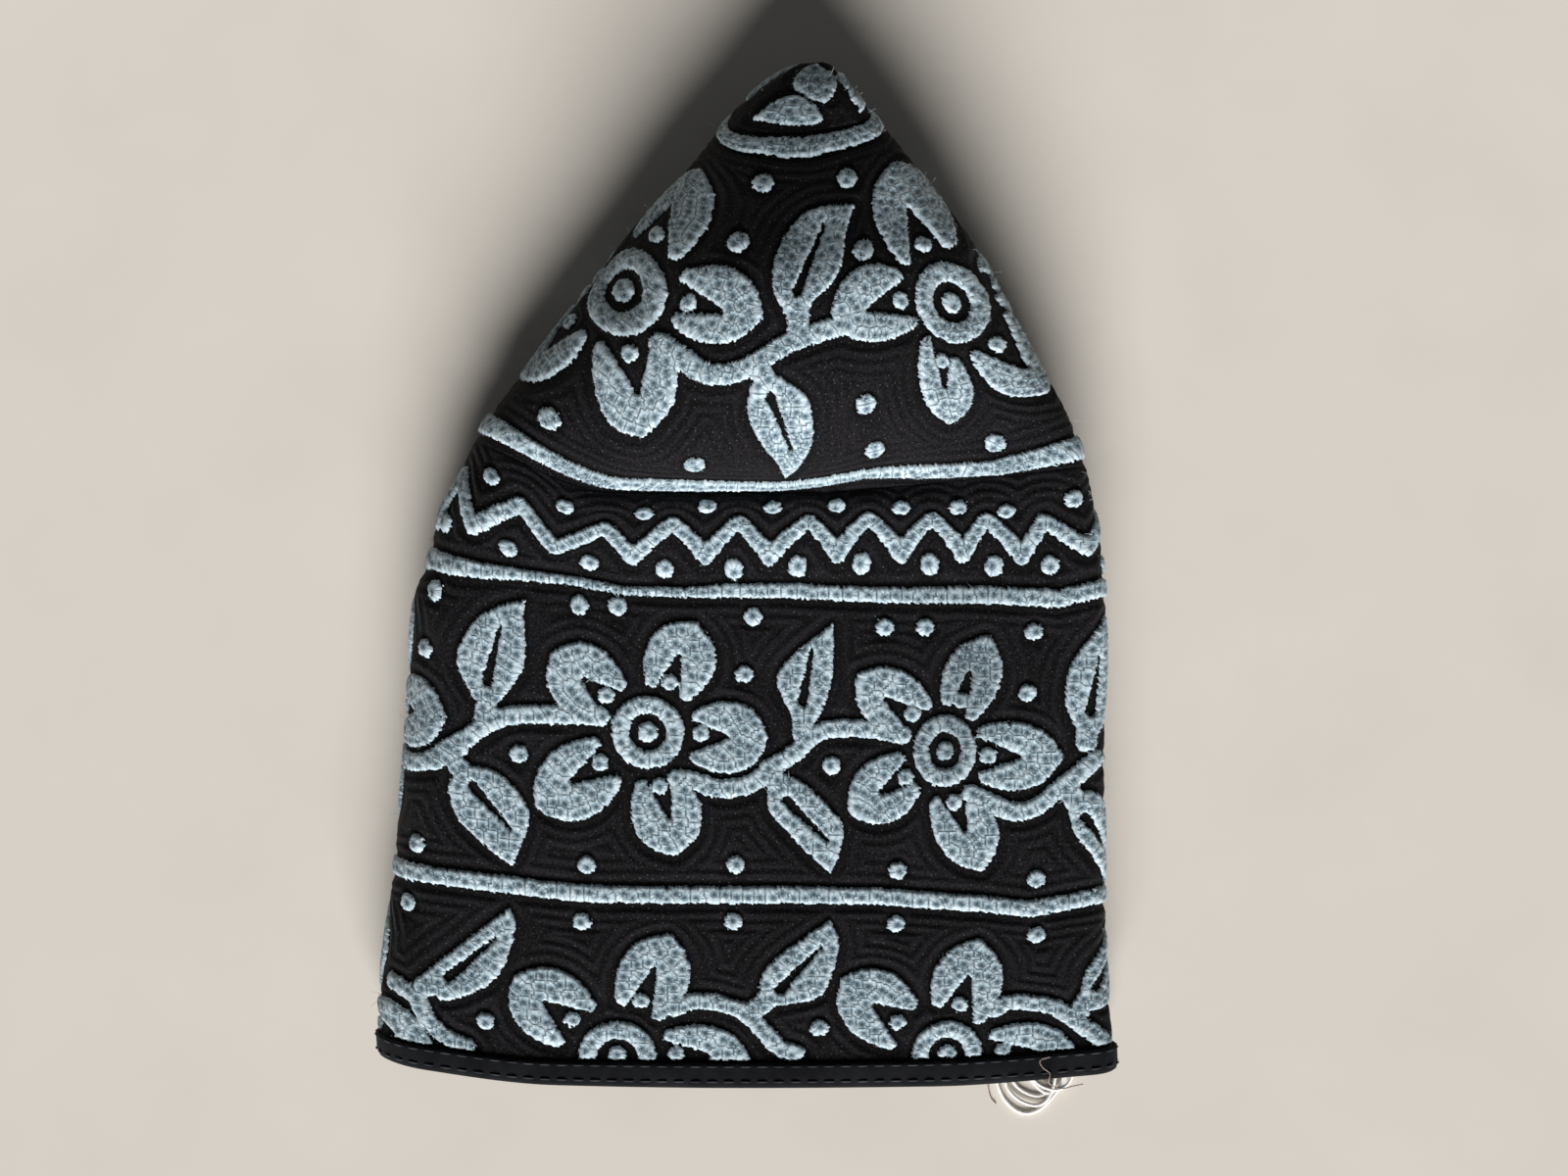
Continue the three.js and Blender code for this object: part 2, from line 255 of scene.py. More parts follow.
    def stretches(self, size: dict[str, Array]) -> list[Stretch]:
        """Works out the nine stretches of each folded section."""
        half = self.wall / 2
        top, bottom = size["lift"] + size["height"] - half, size["lift"] + half
        middle, spine = (top + bottom) / 2, (top - bottom) / 2
        inner = np.minimum((size["gap"] + self.wall) / 2, spine * self.inner_turn_share)
        edge = (spine - inner) / 2
        spine_x, edge_x = size["left"] + half + spine, size["right"] - half - edge
        deepest = size["left"] + 3 * half + self.spine_clearance + inner
        inner_x = edge_x + (np.minimum(deepest, edge_x) - edge_x) * size["notch"]
        low = self.second_layer_rise
        return [
            Stretch(spine_x, spine_x, middle, spine, 180, 90, 0.5, 1),
            Stretch(spine_x, edge_x, top, None, 0, 0, 1, 1),
            Stretch(edge_x, edge_x, top - edge, edge, 90, -90, 1, low),
            Stretch(edge_x, inner_x, middle + inner, None, 0, 0, low, low),
            Stretch(inner_x, inner_x, middle, inner, 90, 270, low, 0),
            Stretch(inner_x, edge_x, middle - inner),
            Stretch(edge_x, edge_x, bottom + edge, edge, 90, -90),
            Stretch(edge_x, spine_x, bottom),
            Stretch(spine_x, spine_x, middle, spine, 270, 180, 0, 0.5),
        ]

    def middle_surface(self, along: Array, around: Array) -> Array:
        """Places points of the cloth's middle surface, in the folding tables' millimetres."""
        size = self.sizes(np.minimum(along, TIP_RING))
        x, z, rise = np.zeros((3, len(along)))
        around = np.mod(around, self.stretches_in_section)
        for number, stretch in enumerate(self.stretches(size)):
            here = (around >= number) & (around < number + 1)
            x[here], z[here], rise[here] = stretch.at(around[here] - number, here)
        across = np.clip((x - size["left"]) / (size["right"] - size["left"]), 0, 1)
        rows = ("y_left", "y_near_left", "y_middle", "y_near_right", "y_right")
        y = smooth_through(np.linspace(0, 1, 5), np.stack([size[name] for name in rows], axis=1), across)
        top, bottom = size["lift"] + size["height"] - self.wall / 2, size["lift"] + self.wall / 2
        lead = size["lead"] * (top - z) / (top - bottom)
        place = np.stack(
            [
                x + self.lead_narrowing * lead * (1 - 2 * across),
                y + lead,
                z + size["hump"] * np.sin(np.pi * across) * rise,
            ],
            axis=1,
        )
        beyond = along > TIP_RING
        place[beyond] = self.closed_tip(place[beyond], along[beyond])
        return place

    def tip_share(self, along: Array) -> Array:
        """Returns 1 up to the tip ring, falling to 0 at the crown's centre."""
        return (CROWN_CENTRE - np.maximum(along, TIP_RING)) / (CROWN_CENTRE - TIP_RING)

    @property
    def tip_facing(self) -> Array:
        """The way that the cloth faces at the crown's centre."""
        return np.array([0.0, math.sin(self.pole_tilt), math.cos(self.pole_tilt)])

    def closed_tip(self, ring: Array, along: Array) -> Array:
        """Draws points of the tip ring in to the crown's centre as a rounded point."""
        share = self.tip_share(along)[:, None]
        facing = self.tip_facing
        out = ring - np.array(self.pole)
        drop = (out @ facing)[:, None]
        side = out - drop * facing
        fuller = share * (1 + self.tip_fullness * (1 - share))
        return np.array(self.pole) + side * fuller + facing * drop * share**self.tip_rise_power

    def normals(self, along: Array, around: Array) -> Array:
        """Works out which way the embroidered face of the cloth faces at each point."""
        step_along, step_around = self.normal_steps
        within = np.minimum(along, CROWN_CENTRE - 2 * step_along)
        up = self.middle_surface(within + step_along, around)
        up = up - self.middle_surface(within - step_along, around)
        on = self.middle_surface(within, around + step_around)
        on = on - self.middle_surface(within, around - step_around)
        normal = np.cross(on, up)
        normal /= np.linalg.norm(normal, axis=1, keepdims=True) + 1e-9
        centre = ease(along, *(CROWN_CENTRE - away for away in self.tip_blend))[:, None]
        normal = normal * (1 - centre) + self.tip_facing * centre
        return normal / np.linalg.norm(normal, axis=1, keepdims=True)

    def half_wall(self, along: Array) -> Array:
        """Half the cloth's thickness, which is less at the hem and where the tip closes."""
        shift = ease(along, *self.hem_taper)
        thickness = self.hem_wall + (self.wall - self.hem_wall) * shift
        return thickness / 2 * self.tip_share(along)


class Side(Enum):
    """The two faces of the cloth."""

    OUTER = 1
    INNER = -1


class Chart(ABC):
    """A flat chart of a piece of the cap's cloth, which knows where each of its points is folded to."""

    def __init__(self, cap: FoldedCap) -> None:
        """Keeps the cap that the chart is folded into."""
        self.cap = cap

    @abstractmethod
    def along(self, points: Array) -> Array:
        """The distance along the cloth of each charted point."""

    @abstractmethod
    def around(self, points: Array) -> Array:
        """The place round the folded section of each charted point."""

    @abstractmethod
    def shows(self, points: Array) -> Array:
        """Whether each charted point lies on the side that the cap shows as it lies."""

    def place(self, points: Array, rise: Array, side: Side = Side.OUTER, lowest: float = 0.0) -> Array:
        """Folds charted points into the frame.

        Args:
            points: charted points, shape (n, 2).
            rise: how far each stands over the cloth's face, in mm.
            side: the face of the cloth that they stand on.
            lowest: the least height over the floor, in mm.

        Returns:
            Points in metres, shape (n, 3).
        """
        along, around = self.along(points), self.around(points)
        cap = self.cap
        offset = side.value * (cap.half_wall(along) + rise)
        place = cap.middle_surface(along, around) + cap.normals(along, around) * offset[:, None]
        place[:, 2] = np.maximum(place[:, 2], lowest)
        return (place + FOOTPRINT_SHIFT) * MM


class BandChart(Chart):
    """The side band's chart: the distance round the cap, and the distance up from the hem."""

    def along(self, points: Array) -> Array:
        """The distance along the cloth, which is the chart's second coordinate."""
        return points[:, 1]

    def shows(self, points: Array) -> Array:
        """Whether each point lies in the part with the finer columns."""
        return (points[:, 0] > BandGrid.fine_from) & (points[:, 0] < BandGrid.fine_to)

    def around(self, points: Array) -> Array:
        """Finds the place round the section.

        On the top layer the chart's first coordinate is the folded cap's own x. Round the back it runs
        evenly along the cloth, so that the chart closes after BAND_PERIOD.
        """
        stretches = self.cap.stretches(self.cap.sizes(points[:, 1]))
        starts = np.cumsum([0 * points[:, 1]] + [s.length for s in stretches], axis=0)
        first = stretches[1].start_x - starts[1]
        half_turned = (starts[2] + starts[3]) / 2
        since = np.mod(points[:, 0] - first, BAND_PERIOD)
        rate = (BAND_PERIOD - half_turned) / (starts[-1] - half_turned)
        arc = np.where(since <= half_turned, since, half_turned + (since - half_turned) / rate)
        number = np.clip((arc >= starts[1:-1]).sum(axis=0), 0, len(stretches) - 1)
        line = np.arange(len(points))
        start, end = starts[number, line], starts[number + 1, line]
        return number + np.clip((arc - start) / (end - start), 0, 1 - 1e-9)


def polar(points: Array) -> tuple[Array, Array]:
    """The angle of points of the crown's disc, from straight down, and their distance from its centre."""
    return np.arctan2(points[:, 0], -points[:, 1]), np.hypot(points[:, 0], points[:, 1])


class CrownChart(Chart):
    """The crown's chart: its flat disc, seen from outside, with the spine's side at the left."""

    along_step = 0.5
    angle_step = 0.01
    section_steps = 1800
    always_shown = 20.0  # the distance from the centre within which everything shows

    def __init__(self, cap: FoldedCap) -> None:
        """Tabulates the place round the section by the distance along the cloth and the disc's angle."""
        super().__init__(cap)
        rows = np.arange(CROWN_SEAM, TIP_RING + self.along_step / 2, self.along_step)
        steps = np.linspace(0, cap.stretches_in_section, self.section_steps + 1)[:-1]
        self.angles = np.arange(-2 * np.pi, 2 * np.pi, self.angle_step)
        self.table = np.stack([self.row(row, steps) for row in rows])

    def row(self, along: float, steps: Array) -> Array:
        """Works out one row of the table.

        On the top layer a point's angle is the one it is seen at from the crown's centre. Beyond the
        top layer the angle goes on with the cloth, and round the back it runs evenly.
        """
        cap = self.cap
        whole = np.full(len(steps), along)
        seen = cap.middle_surface(whole, steps)
        angle = np.arctan2(seen[:, 0] - cap.pole[0], cap.pole[1] - seen[:, 1])
        stretches = cap.stretches(cap.sizes(np.array([along])))
        lengths = np.array([s.length[0] for s in stretches])
        starts = np.concatenate([[0], np.cumsum(lengths)])
        arc = np.interp(steps, np.arange(len(starts)), starts)
        radius = CROWN_CENTRE - along
        first, last = np.argmax(steps >= 1), len(steps) - 1 - np.argmax(steps[::-1] <= 2)
        angle[:first] = angle[first] - (arc[first] - arc[:first]) / radius
        angle[last + 1 :] = angle[last] + (arc[last + 1 :] - arc[last]) / radius
        turned = np.argmax(steps >= PRESSED_EDGE)
        share = (arc[turned:] - arc[turned]) / (starts[-1] - arc[turned])
        angle[turned:] = angle[turned] + (angle[0] + 2 * np.pi - angle[turned]) * share
        lap, count = 2 * np.pi, cap.stretches_in_section
        return np.interp(
            self.angles,
            np.concatenate([angle + lap * k for k in (-2, -1, 0, 1, 2)]),
            np.concatenate([steps + count * k for k in (-2, -1, 0, 1, 2)]),
        )

    def along(self, points: Array) -> Array:
        """The distance along the cloth, which grows toward the disc's centre."""
        return CROWN_CENTRE - polar(points)[1]

    def shows(self, points: Array) -> Array:
        """Whether each point lies in the part with the finer columns, or close to the centre."""
        angle, radius = polar(points)
        shown = (angle > CrownGrid.fine_from) & (angle < CrownGrid.fine_to)
        return shown | (radius < self.always_shown)

    def around(self, points: Array) -> Array:
        """Reads the table between its rows and columns."""
        angle = polar(points)[0]
        row = (np.minimum(self.along(points), TIP_RING) - CROWN_SEAM) / self.along_step
        row = np.clip(row, 0, len(self.table) - 1.001)
        column = (angle - self.angles[0]) / self.angle_step
        i, j = row.astype(int), column.astype(int)
        s, t = row - i, column - j
        low = self.table[i, j] * (1 - t) + self.table[i, j + 1] * t
        high = self.table[i + 1, j] * (1 - t) + self.table[i + 1, j + 1] * t
        return low * (1 - s) + high * s


# Motifs

def from_segment(points: Array, start: Array, end: Array) -> tuple[Array, Array]:
    """Measures points from a straight stretch: the share of it that they lie at, and their distance."""
    way = end - start
    share = np.clip(((points - start) @ way) / max(way @ way, 1e-9), 0, 1)
    return share, np.linalg.norm(points - start - share[:, None] * way, axis=1)


def chain_distance(points: Array, path: Array, radii: Array) -> Array:
    """Signed distance from points to a tapered stroke, which is negative inside it.

    Args:
        points: charted points, shape (n, 2).
        path: the stroke's middle line, shape (k, 2).
        radii: half its width at each point of the line.

    Returns:
        One distance for each point.
    """
    best = np.full(len(points), np.inf)
    for start, end, r_start, r_end in zip(path[:-1], path[1:], radii[:-1], radii[1:]):
        share, gap = from_segment(points, start, end)
        best = np.minimum(best, gap - (r_start + (r_end - r_start) * share))
    return best


def outline_distance(points: Array, outline: Array) -> Array:
    """Signed distance from points to a closed outline, negative inside it."""
    best = np.full(len(points), np.inf)
    inside = np.zeros(len(points), bool)
    for start, end in zip(outline, np.roll(outline, -1, axis=0)):
        best = np.minimum(best, from_segment(points, start, end)[1])
        way = end - start
        crosses = (start[1] > points[:, 1]) != (end[1] > points[:, 1])
        at = start[0] + (points[:, 1] - start[1]) * way[0] / (way[1] if way[1] else 1e-9)
        inside ^= crosses & (points[:, 0] < at)
    return np.where(inside, -best, best)


def curve_through(points: Array, steps: int = 6) -> Array:
    """Returns a smooth line through points, with steps on each stretch."""
    ends = np.concatenate([[2 * points[0] - points[1]], points, [2 * points[-1] - points[-2]]])
    t = np.linspace(0, 1, steps, endpoint=False)[:, None]
    line = [
        0.5 * (2 * b + (c - a) * t + (2 * a - 5 * b + 4 * c - d) * t**2 + (3 * b - a - 3 * c + d) * t**3)
        for a, b, c, d in zip(ends[:-3], ends[1:-2], ends[2:-1], ends[3:])
    ]
    return np.concatenate(line + [points[-1:]])


def marks(*points: Pair) -> Array:
    """Keeps a motif's points as an array."""
    return np.array(points, float)


def placed_points() -> Any:
    """A field that holds charted points, which move with the motif."""
    return field(metadata={"moves": True})


@dataclass(frozen=True, eq=False)
class Motif(ABC):
    """One embroidered shape on a chart."""

    @abstractmethod
    def distance(self, points: Array) -> Array:
        """Signed distance from charted points to the motif, negative inside it."""

    def own_points(self) -> Array:
        """All points that give the motif's place."""
        return np.concatenate([getattr(self, f.name) for f in fields(self) if f.metadata.get("moves")])

    def moved(self, move: Callable[[Array], Array]) -> "Motif":
        """Returns the motif with its points moved."""
        changed = {f.name: move(getattr(self, f.name)) for f in fields(self) if f.metadata.get("moves")}
        return replace(self, **changed)

    @property
    def swell(self) -> float:
        """How far the motif reaches past its own points."""
        return 4.0


@dataclass(frozen=True, eq=False)
class Dot(Motif):
    """A small round knot of stitches."""

    centre: Array = placed_points()
    radius: float = 1.9

    def distance(self, points: Array) -> Array:
        """Distance to the dot's rim."""
        return np.linalg.norm(points - self.centre[0], axis=1) - self.radius


@dataclass(frozen=True, eq=False)
class Ring(Motif):
    """A flower's eye: a ring, and a dot within it where it has one."""

    centre: Array = placed_points()
    radius: float = 5.1
    half_width: float = 1.55
    squeeze: float = 1.0
    pupil: float = 1.75

    def distance(self, points: Array) -> Array:
        """Distance to the ring or to its dot."""
        out = (points - self.centre[0]) / [self.squeeze, 1.0]
        away = np.linalg.norm(out, axis=1)
        ring = np.abs(away - self.radius) - self.half_width
        return np.minimum(ring, away - self.pupil) if self.pupil else ring

    @property
    def swell(self) -> float:
        """The ring reaches its outer radius."""
        return self.radius + self.half_width + 1


@dataclass(frozen=True, eq=False)
class Stem(Motif):
    """A stroke of even width along a smooth line."""

    line: Array = placed_points()
    radius: float = 1.6

    def distance(self, points: Array) -> Array:
        """Distance to the stroke's edge."""
        path = curve_through(self.line, 4)
        return chain_distance(points, path, np.full(len(path), self.radius))


@dataclass(frozen=True, eq=False)
class Petal(Motif):
    """Two bulging strokes that meet in a point, with a slit between them and a dot in its mouth."""

    legs: Array = placed_points()
    tip: Array = placed_points()
    slit: Array = placed_points()
    seed: Array = placed_points()
    bulge: float = 2.35
    leg_end: float = 1.65
    body: float = 2.45
    body_span: Pair = (0.4, 0.7)  # the part of a stroke that is as wide as the body
    point: float = 1.2
    seed_radius: float = 1.45
    slit_end: float = 0.6
    mouth_depth: float = 3.0  # how far past the legs the slit is cut
    set_back: float = 0.8  # how far in from a leg's end its stroke starts, as a share of leg_end
    steps: int = 10

    def distance(self, points: Array) -> Array:
        """Distance to the two strokes and what lies between them, less the slit, and to the dot."""
        tip, slit = self.tip[0], self.slit[0]
        toward = (tip - slit) / np.linalg.norm(tip - slit)
        end = tip - toward * self.point
        paths = [self.stroke(leg, end, slit) for leg in self.legs]
        core = outline_distance(points, np.concatenate([paths[0], paths[1][-2::-1]]))
        shares, widths = [0, *self.body_span, 1], [self.leg_end, self.body, self.body, self.point]
        for path in paths:
            radii = np.interp(np.linspace(0, 1, len(path)), shares, widths)
            core = np.minimum(core, chain_distance(points, path, radii))
        across = self.legs[1] - self.legs[0]
        apart = np.linalg.norm(across)
        inset = across / apart * min(self.leg_end, apart / 2 - self.slit_end)
        sides = np.array([self.legs[0] + inset, self.legs[1] - inset])
        end_of_slit = slit - toward * self.slit_end
        opening = np.concatenate([sides - toward * self.mouth_depth, [sides[1], end_of_slit, sides[0]]])
        core = np.maximum(core, self.slit_end - outline_distance(points, opening))
        return np.minimum(core, np.linalg.norm(points - self.seed[0], axis=1) - self.seed_radius)

    def stroke(self, leg: Array, end: Array, slit: Array) -> Array:
        """The middle line of the stroke from a leg's end to the tip, bulging away from the slit."""
        chord = (end - leg) / np.linalg.norm(end - leg)
        start = leg + chord * self.leg_end * self.set_back
        across = np.array([-chord[1], chord[0]])
        out = -math.copysign(1, across @ (slit - start))
        control = (start + end) / 2 + across * out * 2 * self.bulge
        t = np.linspace(0, 1, self.steps)[:, None]
        return start * (1 - t) ** 2 + control * 2 * t * (1 - t) + end * t**2


@dataclass(frozen=True, eq=False)
class Leaf(Motif):
    """A pointed leaf with a slit along its middle."""

    base: Array = placed_points()
    left: Array = placed_points()
    tip: Array = placed_points()
    right: Array = placed_points()
    slit: Array = placed_points()
    slit_start: float = 1.05
    slit_end: float = 0.4
    neck: float = 1.9

    def distance(self, points: Array) -> Array:
        """Distance to the leaf's outline or to its slit."""
        left = curve_through(np.concatenate([self.base, self.left, self.tip]), 4)
        right = curve_through(np.concatenate([self.tip, self.right[::-1], self.base]), 4)
        whole = outline_distance(points, np.concatenate([left[:-1], right[:-1]]))
        neck = np.concatenate([self.base, self.slit[:1]])
        whole = np.minimum(whole, chain_distance(points, neck, np.array([self.neck, self.neck])))
        cut = chain_distance(points, self.slit, np.array([self.slit_start, self.slit_end]))
        return np.maximum(whole, -cut)


@dataclass(frozen=True, eq=False)
class Patch(Motif):
    """A solid shape with a smooth closed outline."""

    outline: Array = placed_points()

    def distance(self, points: Array) -> Array:
        """Distance to the outline."""
        closed = np.concatenate([self.outline, self.outline[:1]])
        return outline_distance(points, curve_through(closed, 4)[:-1])


@dataclass(frozen=True)
class Stripe:
    """A stripe that runs right round the cap. rows holds its place round, its middle and half its width."""

    rows: tuple[Triple, ...]
    period: float

    def distance(self, around: Array, across: Array) -> Array:
        """Distance across the stripe, for places round the cap and places across the stripe."""
        table = np.array(self.rows)
        starts = table[:, 0] - table[0, 0]
        place = np.mod(around - table[0, 0], self.period)
        middle, half = (np.interp(place, starts, table[:, column]) for column in (1, 2))
        return np.abs(across - middle) - half


def shifted(motifs: Sequence[Motif], by: Sequence[float]) -> list[Motif]:
    """Returns motifs moved by a vector on their chart."""
    return [m.moved(lambda p: p + np.asarray(by)) for m in motifs]


def turned(motifs: Sequence[Motif], angle: float) -> list[Motif]:
    """Returns motifs turned about the crown's centre."""
    turn = np.array([[math.cos(angle), math.sin(angle)], [-math.sin(angle), math.cos(angle)]])
    return [m.moved(lambda p: p @ turn) for m in motifs]


def petal(a: Any, b: Any, tip: Any, slit: Any, seed: Any, **more: float) -> Petal:
    """Makes a petal from its two leg ends, its tip, the end of its slit and its dot."""
    return Petal(marks(a, b), marks(tip), marks(slit), marks(seed), **more)


def leaf(base: Any, left: Sequence[Any], tip: Any, right: Sequence[Any], slit: Sequence[Any]) -> Leaf:
    """Makes a leaf from its base, its two edges, its tip and its slit."""
    return Leaf(marks(base), marks(*left), marks(tip), marks(*right), marks(*slit))


def stem(*points: Pair, radius: float = 1.6) -> Stem:
    """Makes a stem through its points."""
    return Stem(marks(*points), radius)


def dots(*centres: Pair, radius: float = 1.6) -> list[Motif]:
    """Makes a dot at each centre."""
    return [Dot(marks(c), radius) for c in centres]


class Pattern(ABC):
    """The embroidery of one chart."""

    laps: tuple[float, ...] = (0.0,)
    # soft spots of painted shade on the thread
    painted_shade_spots: tuple[tuple[float, float, float, float, float], ...]  # centre, two radii and strength

    @abstractmethod
    def motifs(self) -> list[Motif]:
        """All motifs of the chart."""

    @abstractmethod
    def from_stripes(self, points: Array) -> Array:
        """Distance from charted points to the nearest stripe."""

    def distance(self, points: Array, reach: float, with_dots: bool = True) -> Array:
        """Signed distance from charted points to the nearest motif.

        Args:
            points: charted points, shape (n, 2).
            reach: how far from a motif its distance is worked out, in mm.
            with_dots: counts the loose dots too, which the quilting does not follow.

        Returns:
            The distances, never more than FAR.
        """
        best = np.minimum(np.full(len(points), FAR), self.from_stripes(points))
        for motif in [m for lap in self.laps for m in shifted(self.motifs(), (lap, 0.0))]:
            if isinstance(motif, Dot) and not with_dots:
                continue
            own = motif.own_points()
            low, high = own.min(axis=0) - motif.swell - reach, own.max(axis=0) + motif.swell + reach
            near = np.flatnonzero(np.all((points > low) & (points < high), axis=1))
            if len(near):
                best[near] = np.minimum(best[near], motif.distance(points[near]))
        return best - STITCH_SWELL

    def shade(self, points: Array) -> Array:
        """How much painted shade darkens the thread at charted points, where a fold or a turn lies in shade.
        """
        total = np.zeros(len(points))
        for x, y, wide, tall, strength in self.painted_shade_spots:
            total += strength * np.exp(-(((points[:, 0] - x) / wide) ** 2) - ((points[:, 1] - y) / tall) ** 2)
        return total


class BandPattern(Pattern):
    """The side band's embroidery, charted in millimetres: ten flowers in two rows, a zigzag and stripes."""

    repeats = 9  # the steps from a row's second flower on round the cap to its first
    drawn_middle, drawn_lower = 55.0, 61.1  # from each row's first flower to its second
    middle_pitch = (BAND_PERIOD - drawn_middle) / repeats
    lower_pitch = (BAND_PERIOD - drawn_lower) / repeats
    first_middle, second_middle, middle_row = -18.1, 36.9, 67.0
    first_lower, second_lower, lower_row = -23.8, 37.3, 4.0
    second_drop = 2.5  # how much lower the middle row's second flower stands
    zigzag_half_width = 1.4
    zigzag_low, zigzag_high = 100.4, 107.6
    dot_row_low, dot_row_high = 98.4, 110.4
    hidden_teeth_turns = 77
    spine_shift = -2.4  # how far the flowers at the spine stand from the even pitch
    laps = (-BAND_PERIOD, 0.0, BAND_PERIOD)
    # Painted shade on the thread where the cloth turns away from the light: about the second flower of the
    # middle row, along the upper stripe and near the spine.
    painted_shade_spots = (
        (41.5, 80.0, 6.0, 8.0, 0.5), (37.0, 65.5, 7.0, 7.0, 0.4), (40.0, 94.0, 12.0, 2.5, 0.3),
        (-59.0, 67.0, 5.0, 9.0, 0.25), (-22.0, 91.5, 12.0, 1.6, 0.2),
    )

    def middle_flower(self, left_leaves: bool = True) -> list[Motif]:
        """The first flower of the middle row, with its stems and leaves, about its own centre."""
        flower = [
            Ring(marks((0, 0))),
            petal((0.4, 9.0), (6.9, 6.5), (8.8, 21.0), (6.0, 15.0), (4.0, 9.5)),
            petal((8.6, 3.5), (8.2, -4.5), (22.2, -0.5), (15.1, -0.5), (9.8, 0)),
            petal((-1.4, -9.5), (5.4, -7.5), (5.0, -22.5), (4.0, -16.0), (2.1, -10.0)),
            petal((-9.4, -2.0), (-5.4, -9.0), (-20.6, -15.0), (-14.4, -10.0), (-8.8, -6.0)),
            petal((-4.5, 8.5), (-8.8, 2.0), (-17.9, 13.5), (-12.4, 9.5), (-7.7, 6.5)),
            stem((5.3, -8.5), (8.9, -9), (12.4, -10), (15.5, -10), (19.2, -9), (22.4, -6.5), (25.1, -4.5)),
        ]
        if not left_leaves:
            return flower
        return flower + [
            stem((-39.8, -9), (-36.3, -7), (-33.6, -4), (-30.2, -1), (-26.6, 1), (-22.1, 2), (-14.9, 2.5),
                 (-8.7, 2.5)),
            leaf((-30.1, 0.5), [(-35.2, 9.5), (-33.2, 16), (-29.2, 20)], (-22.7, 22.5),
                 [(-24.4, 8), (-22.8, 12.5), (-23.1, 19.5)], [(-29.8, 7), (-27.3, 17.5)]),
            leaf((-35.3, -9), [(-36.9, -14), (-34.9, -19), (-31.2, -22.5)], (-25.2, -26.5),
                 [(-29.5, -9), (-25.7, -11), (-22.8, -14.5), (-22.2, -18)], [(-32.5, -12.5), (-25.5, -19.5)]),
        ]

    def right_leaves(self) -> list[Motif]:
        """The leaves between the first flower of the middle row and the second one."""
        return [
            leaf((28.8, 0.5), [(24, 11.5)], (34.2, 21.5), [(31.1, 3), (33.6, 9), (34.3, 16)],
                 [(28.6, 6.5), (30.4, 16.5)]),
            leaf((22.4, -6.5), [(22.2, -10.5), (23.4, -15)], (33.9, -25.5),
                 [(29, -9), (35.5, -15.5), (35.8, -19.5)], [(25.7, -12), (33.1, -19)]),
        ]

    def flower_dots(self, left: bool = False, right: bool = True) -> list[Motif]:
        """The loose dots round a flower of the middle row.

        Args:
            left: adds the three beyond its left leaves.
            right: adds the three beyond its right petal.

        Returns:
            The dots about the flower's centre.
        """
        made = dots((-23.9, -5.5), (-12.7, 22.5), (-5.6, 23), (-11.4, -25))
        if left:
            made += dots((-39.8, 22), (-41.9, 11.5), (-43.2, -25))
        if right:
            made += dots((19.5, 22.5), (17.8, 11.5), (16.2, -24))
        return made

    def second_flower(self) -> list[Motif]:
        """The second flower of the middle row, which is squeezed toward the pressed edge."""
        narrow = {"bulge": 2.0, "body": 2.1, "leg_end": 1.6}
        return [
            Ring(marks((0, 0)), 5.1, 1.55, 0.86, 1.7),
            petal((0.2, 9), (4.6, 6), (8.1, 21.5), (4.8, 15), (2.9, 9.5), **narrow),
            petal((6.3, 3.5), (6.6, -5), (21.8, -2), (14.2, -1.5), (8, -1), **narrow),
            petal((-1.9, -9), (4.8, -8), (7, -22), (3.9, -15), (1.7, -9.5), **narrow),
            petal((-8, -1), (-5, -7), (-17.6, -11.5), (-12.2, -8), (-7.2, -5), **narrow),
            petal((-2.9, 8.5), (-7.1, 2.5), (-16, 14.5), (-11.3, 10), (-6, 7), **narrow),
            stem((-32.6, -4), (-27.6, -0.5), (-23.9, 3), (-19.9, 4), (-14.1, 4), (-7.9, 3)),
            stem((4.8, -8), (7.9, -9.5), (12.9, -11.5), (17.4, -10.5), (21.4, -7.5), (24.9, -5), (28, -2.5)),
            leaf((26.1, 1), [(23.2, 6), (22.4, 11), (24.3, 17)], (30.5, 24.5), [(29, 3), (32, 9), (32.5, 16)],
                 [(26.9, 6.5), (28.5, 16.5)]),
            leaf((23.4, -8.5), [(23.2, -12.5), (24.6, -16.5), (26.9, -19.5)], (31.5, -26),
                 [(28.5, -9), (33.2, -15), (33.4, -20)], [(26, -13), (31, -20)]),
        ]

    def second_dots(self) -> list[Motif]:
        """The loose dots round the second flower of the middle row."""
        return dots((-11.2, 23.5), (-3.7, 23.5), (16.4, 22), (15.3, 10.5), (-21, -3), (-8.8, -22), (17, -24))

    def lower_flower(self, bare: bool = False) -> list[Motif]:
        """The first flower of the lower row, whose lower half the hem's binding hides.

        Args:
            bare: leaves out the stem and the leaf on its right.

        Returns:
            The motifs about the flower's centre.
        """
        head = [
            Ring(marks((0, 0)), 5.5, 1.65, 1.0, 0.0),
            *dots((0, 0.4), radius=1.7),
            petal((0.6, 11), (7.5, 8), (9.9, 25), (7.1, 18.5), (4.4, 11.5)),
            petal((-4.5, 10), (-10.5, 2.5), (-19, 15.5), (-13.8, 11), (-8.4, 7.5)),
            petal((9.0, 4.6), (9.0, -4.0), (24.8, -1.2), (17.4, 0.2), (10.9, 0.7)),
        ]
        if bare:
            return head
        return head + [
            stem((10.8, 10), (13.7, 11.5), (17.4, 11.5), (21.1, 10.5), (23.4, 9.5), (26.7, 6), (30.2, 2),
                 (33.1, 1)),
            leaf((26.2, 10.5), [(26.4, 15), (28.9, 20)], (39.3, 28.5), [(36.5, 12), (39.4, 16.5), (41, 24)],
                 [(30.1, 14), (37.8, 23)]),
            *dots((-6.5, 27), (21.5, 28), (37.5, 6)),
        ]

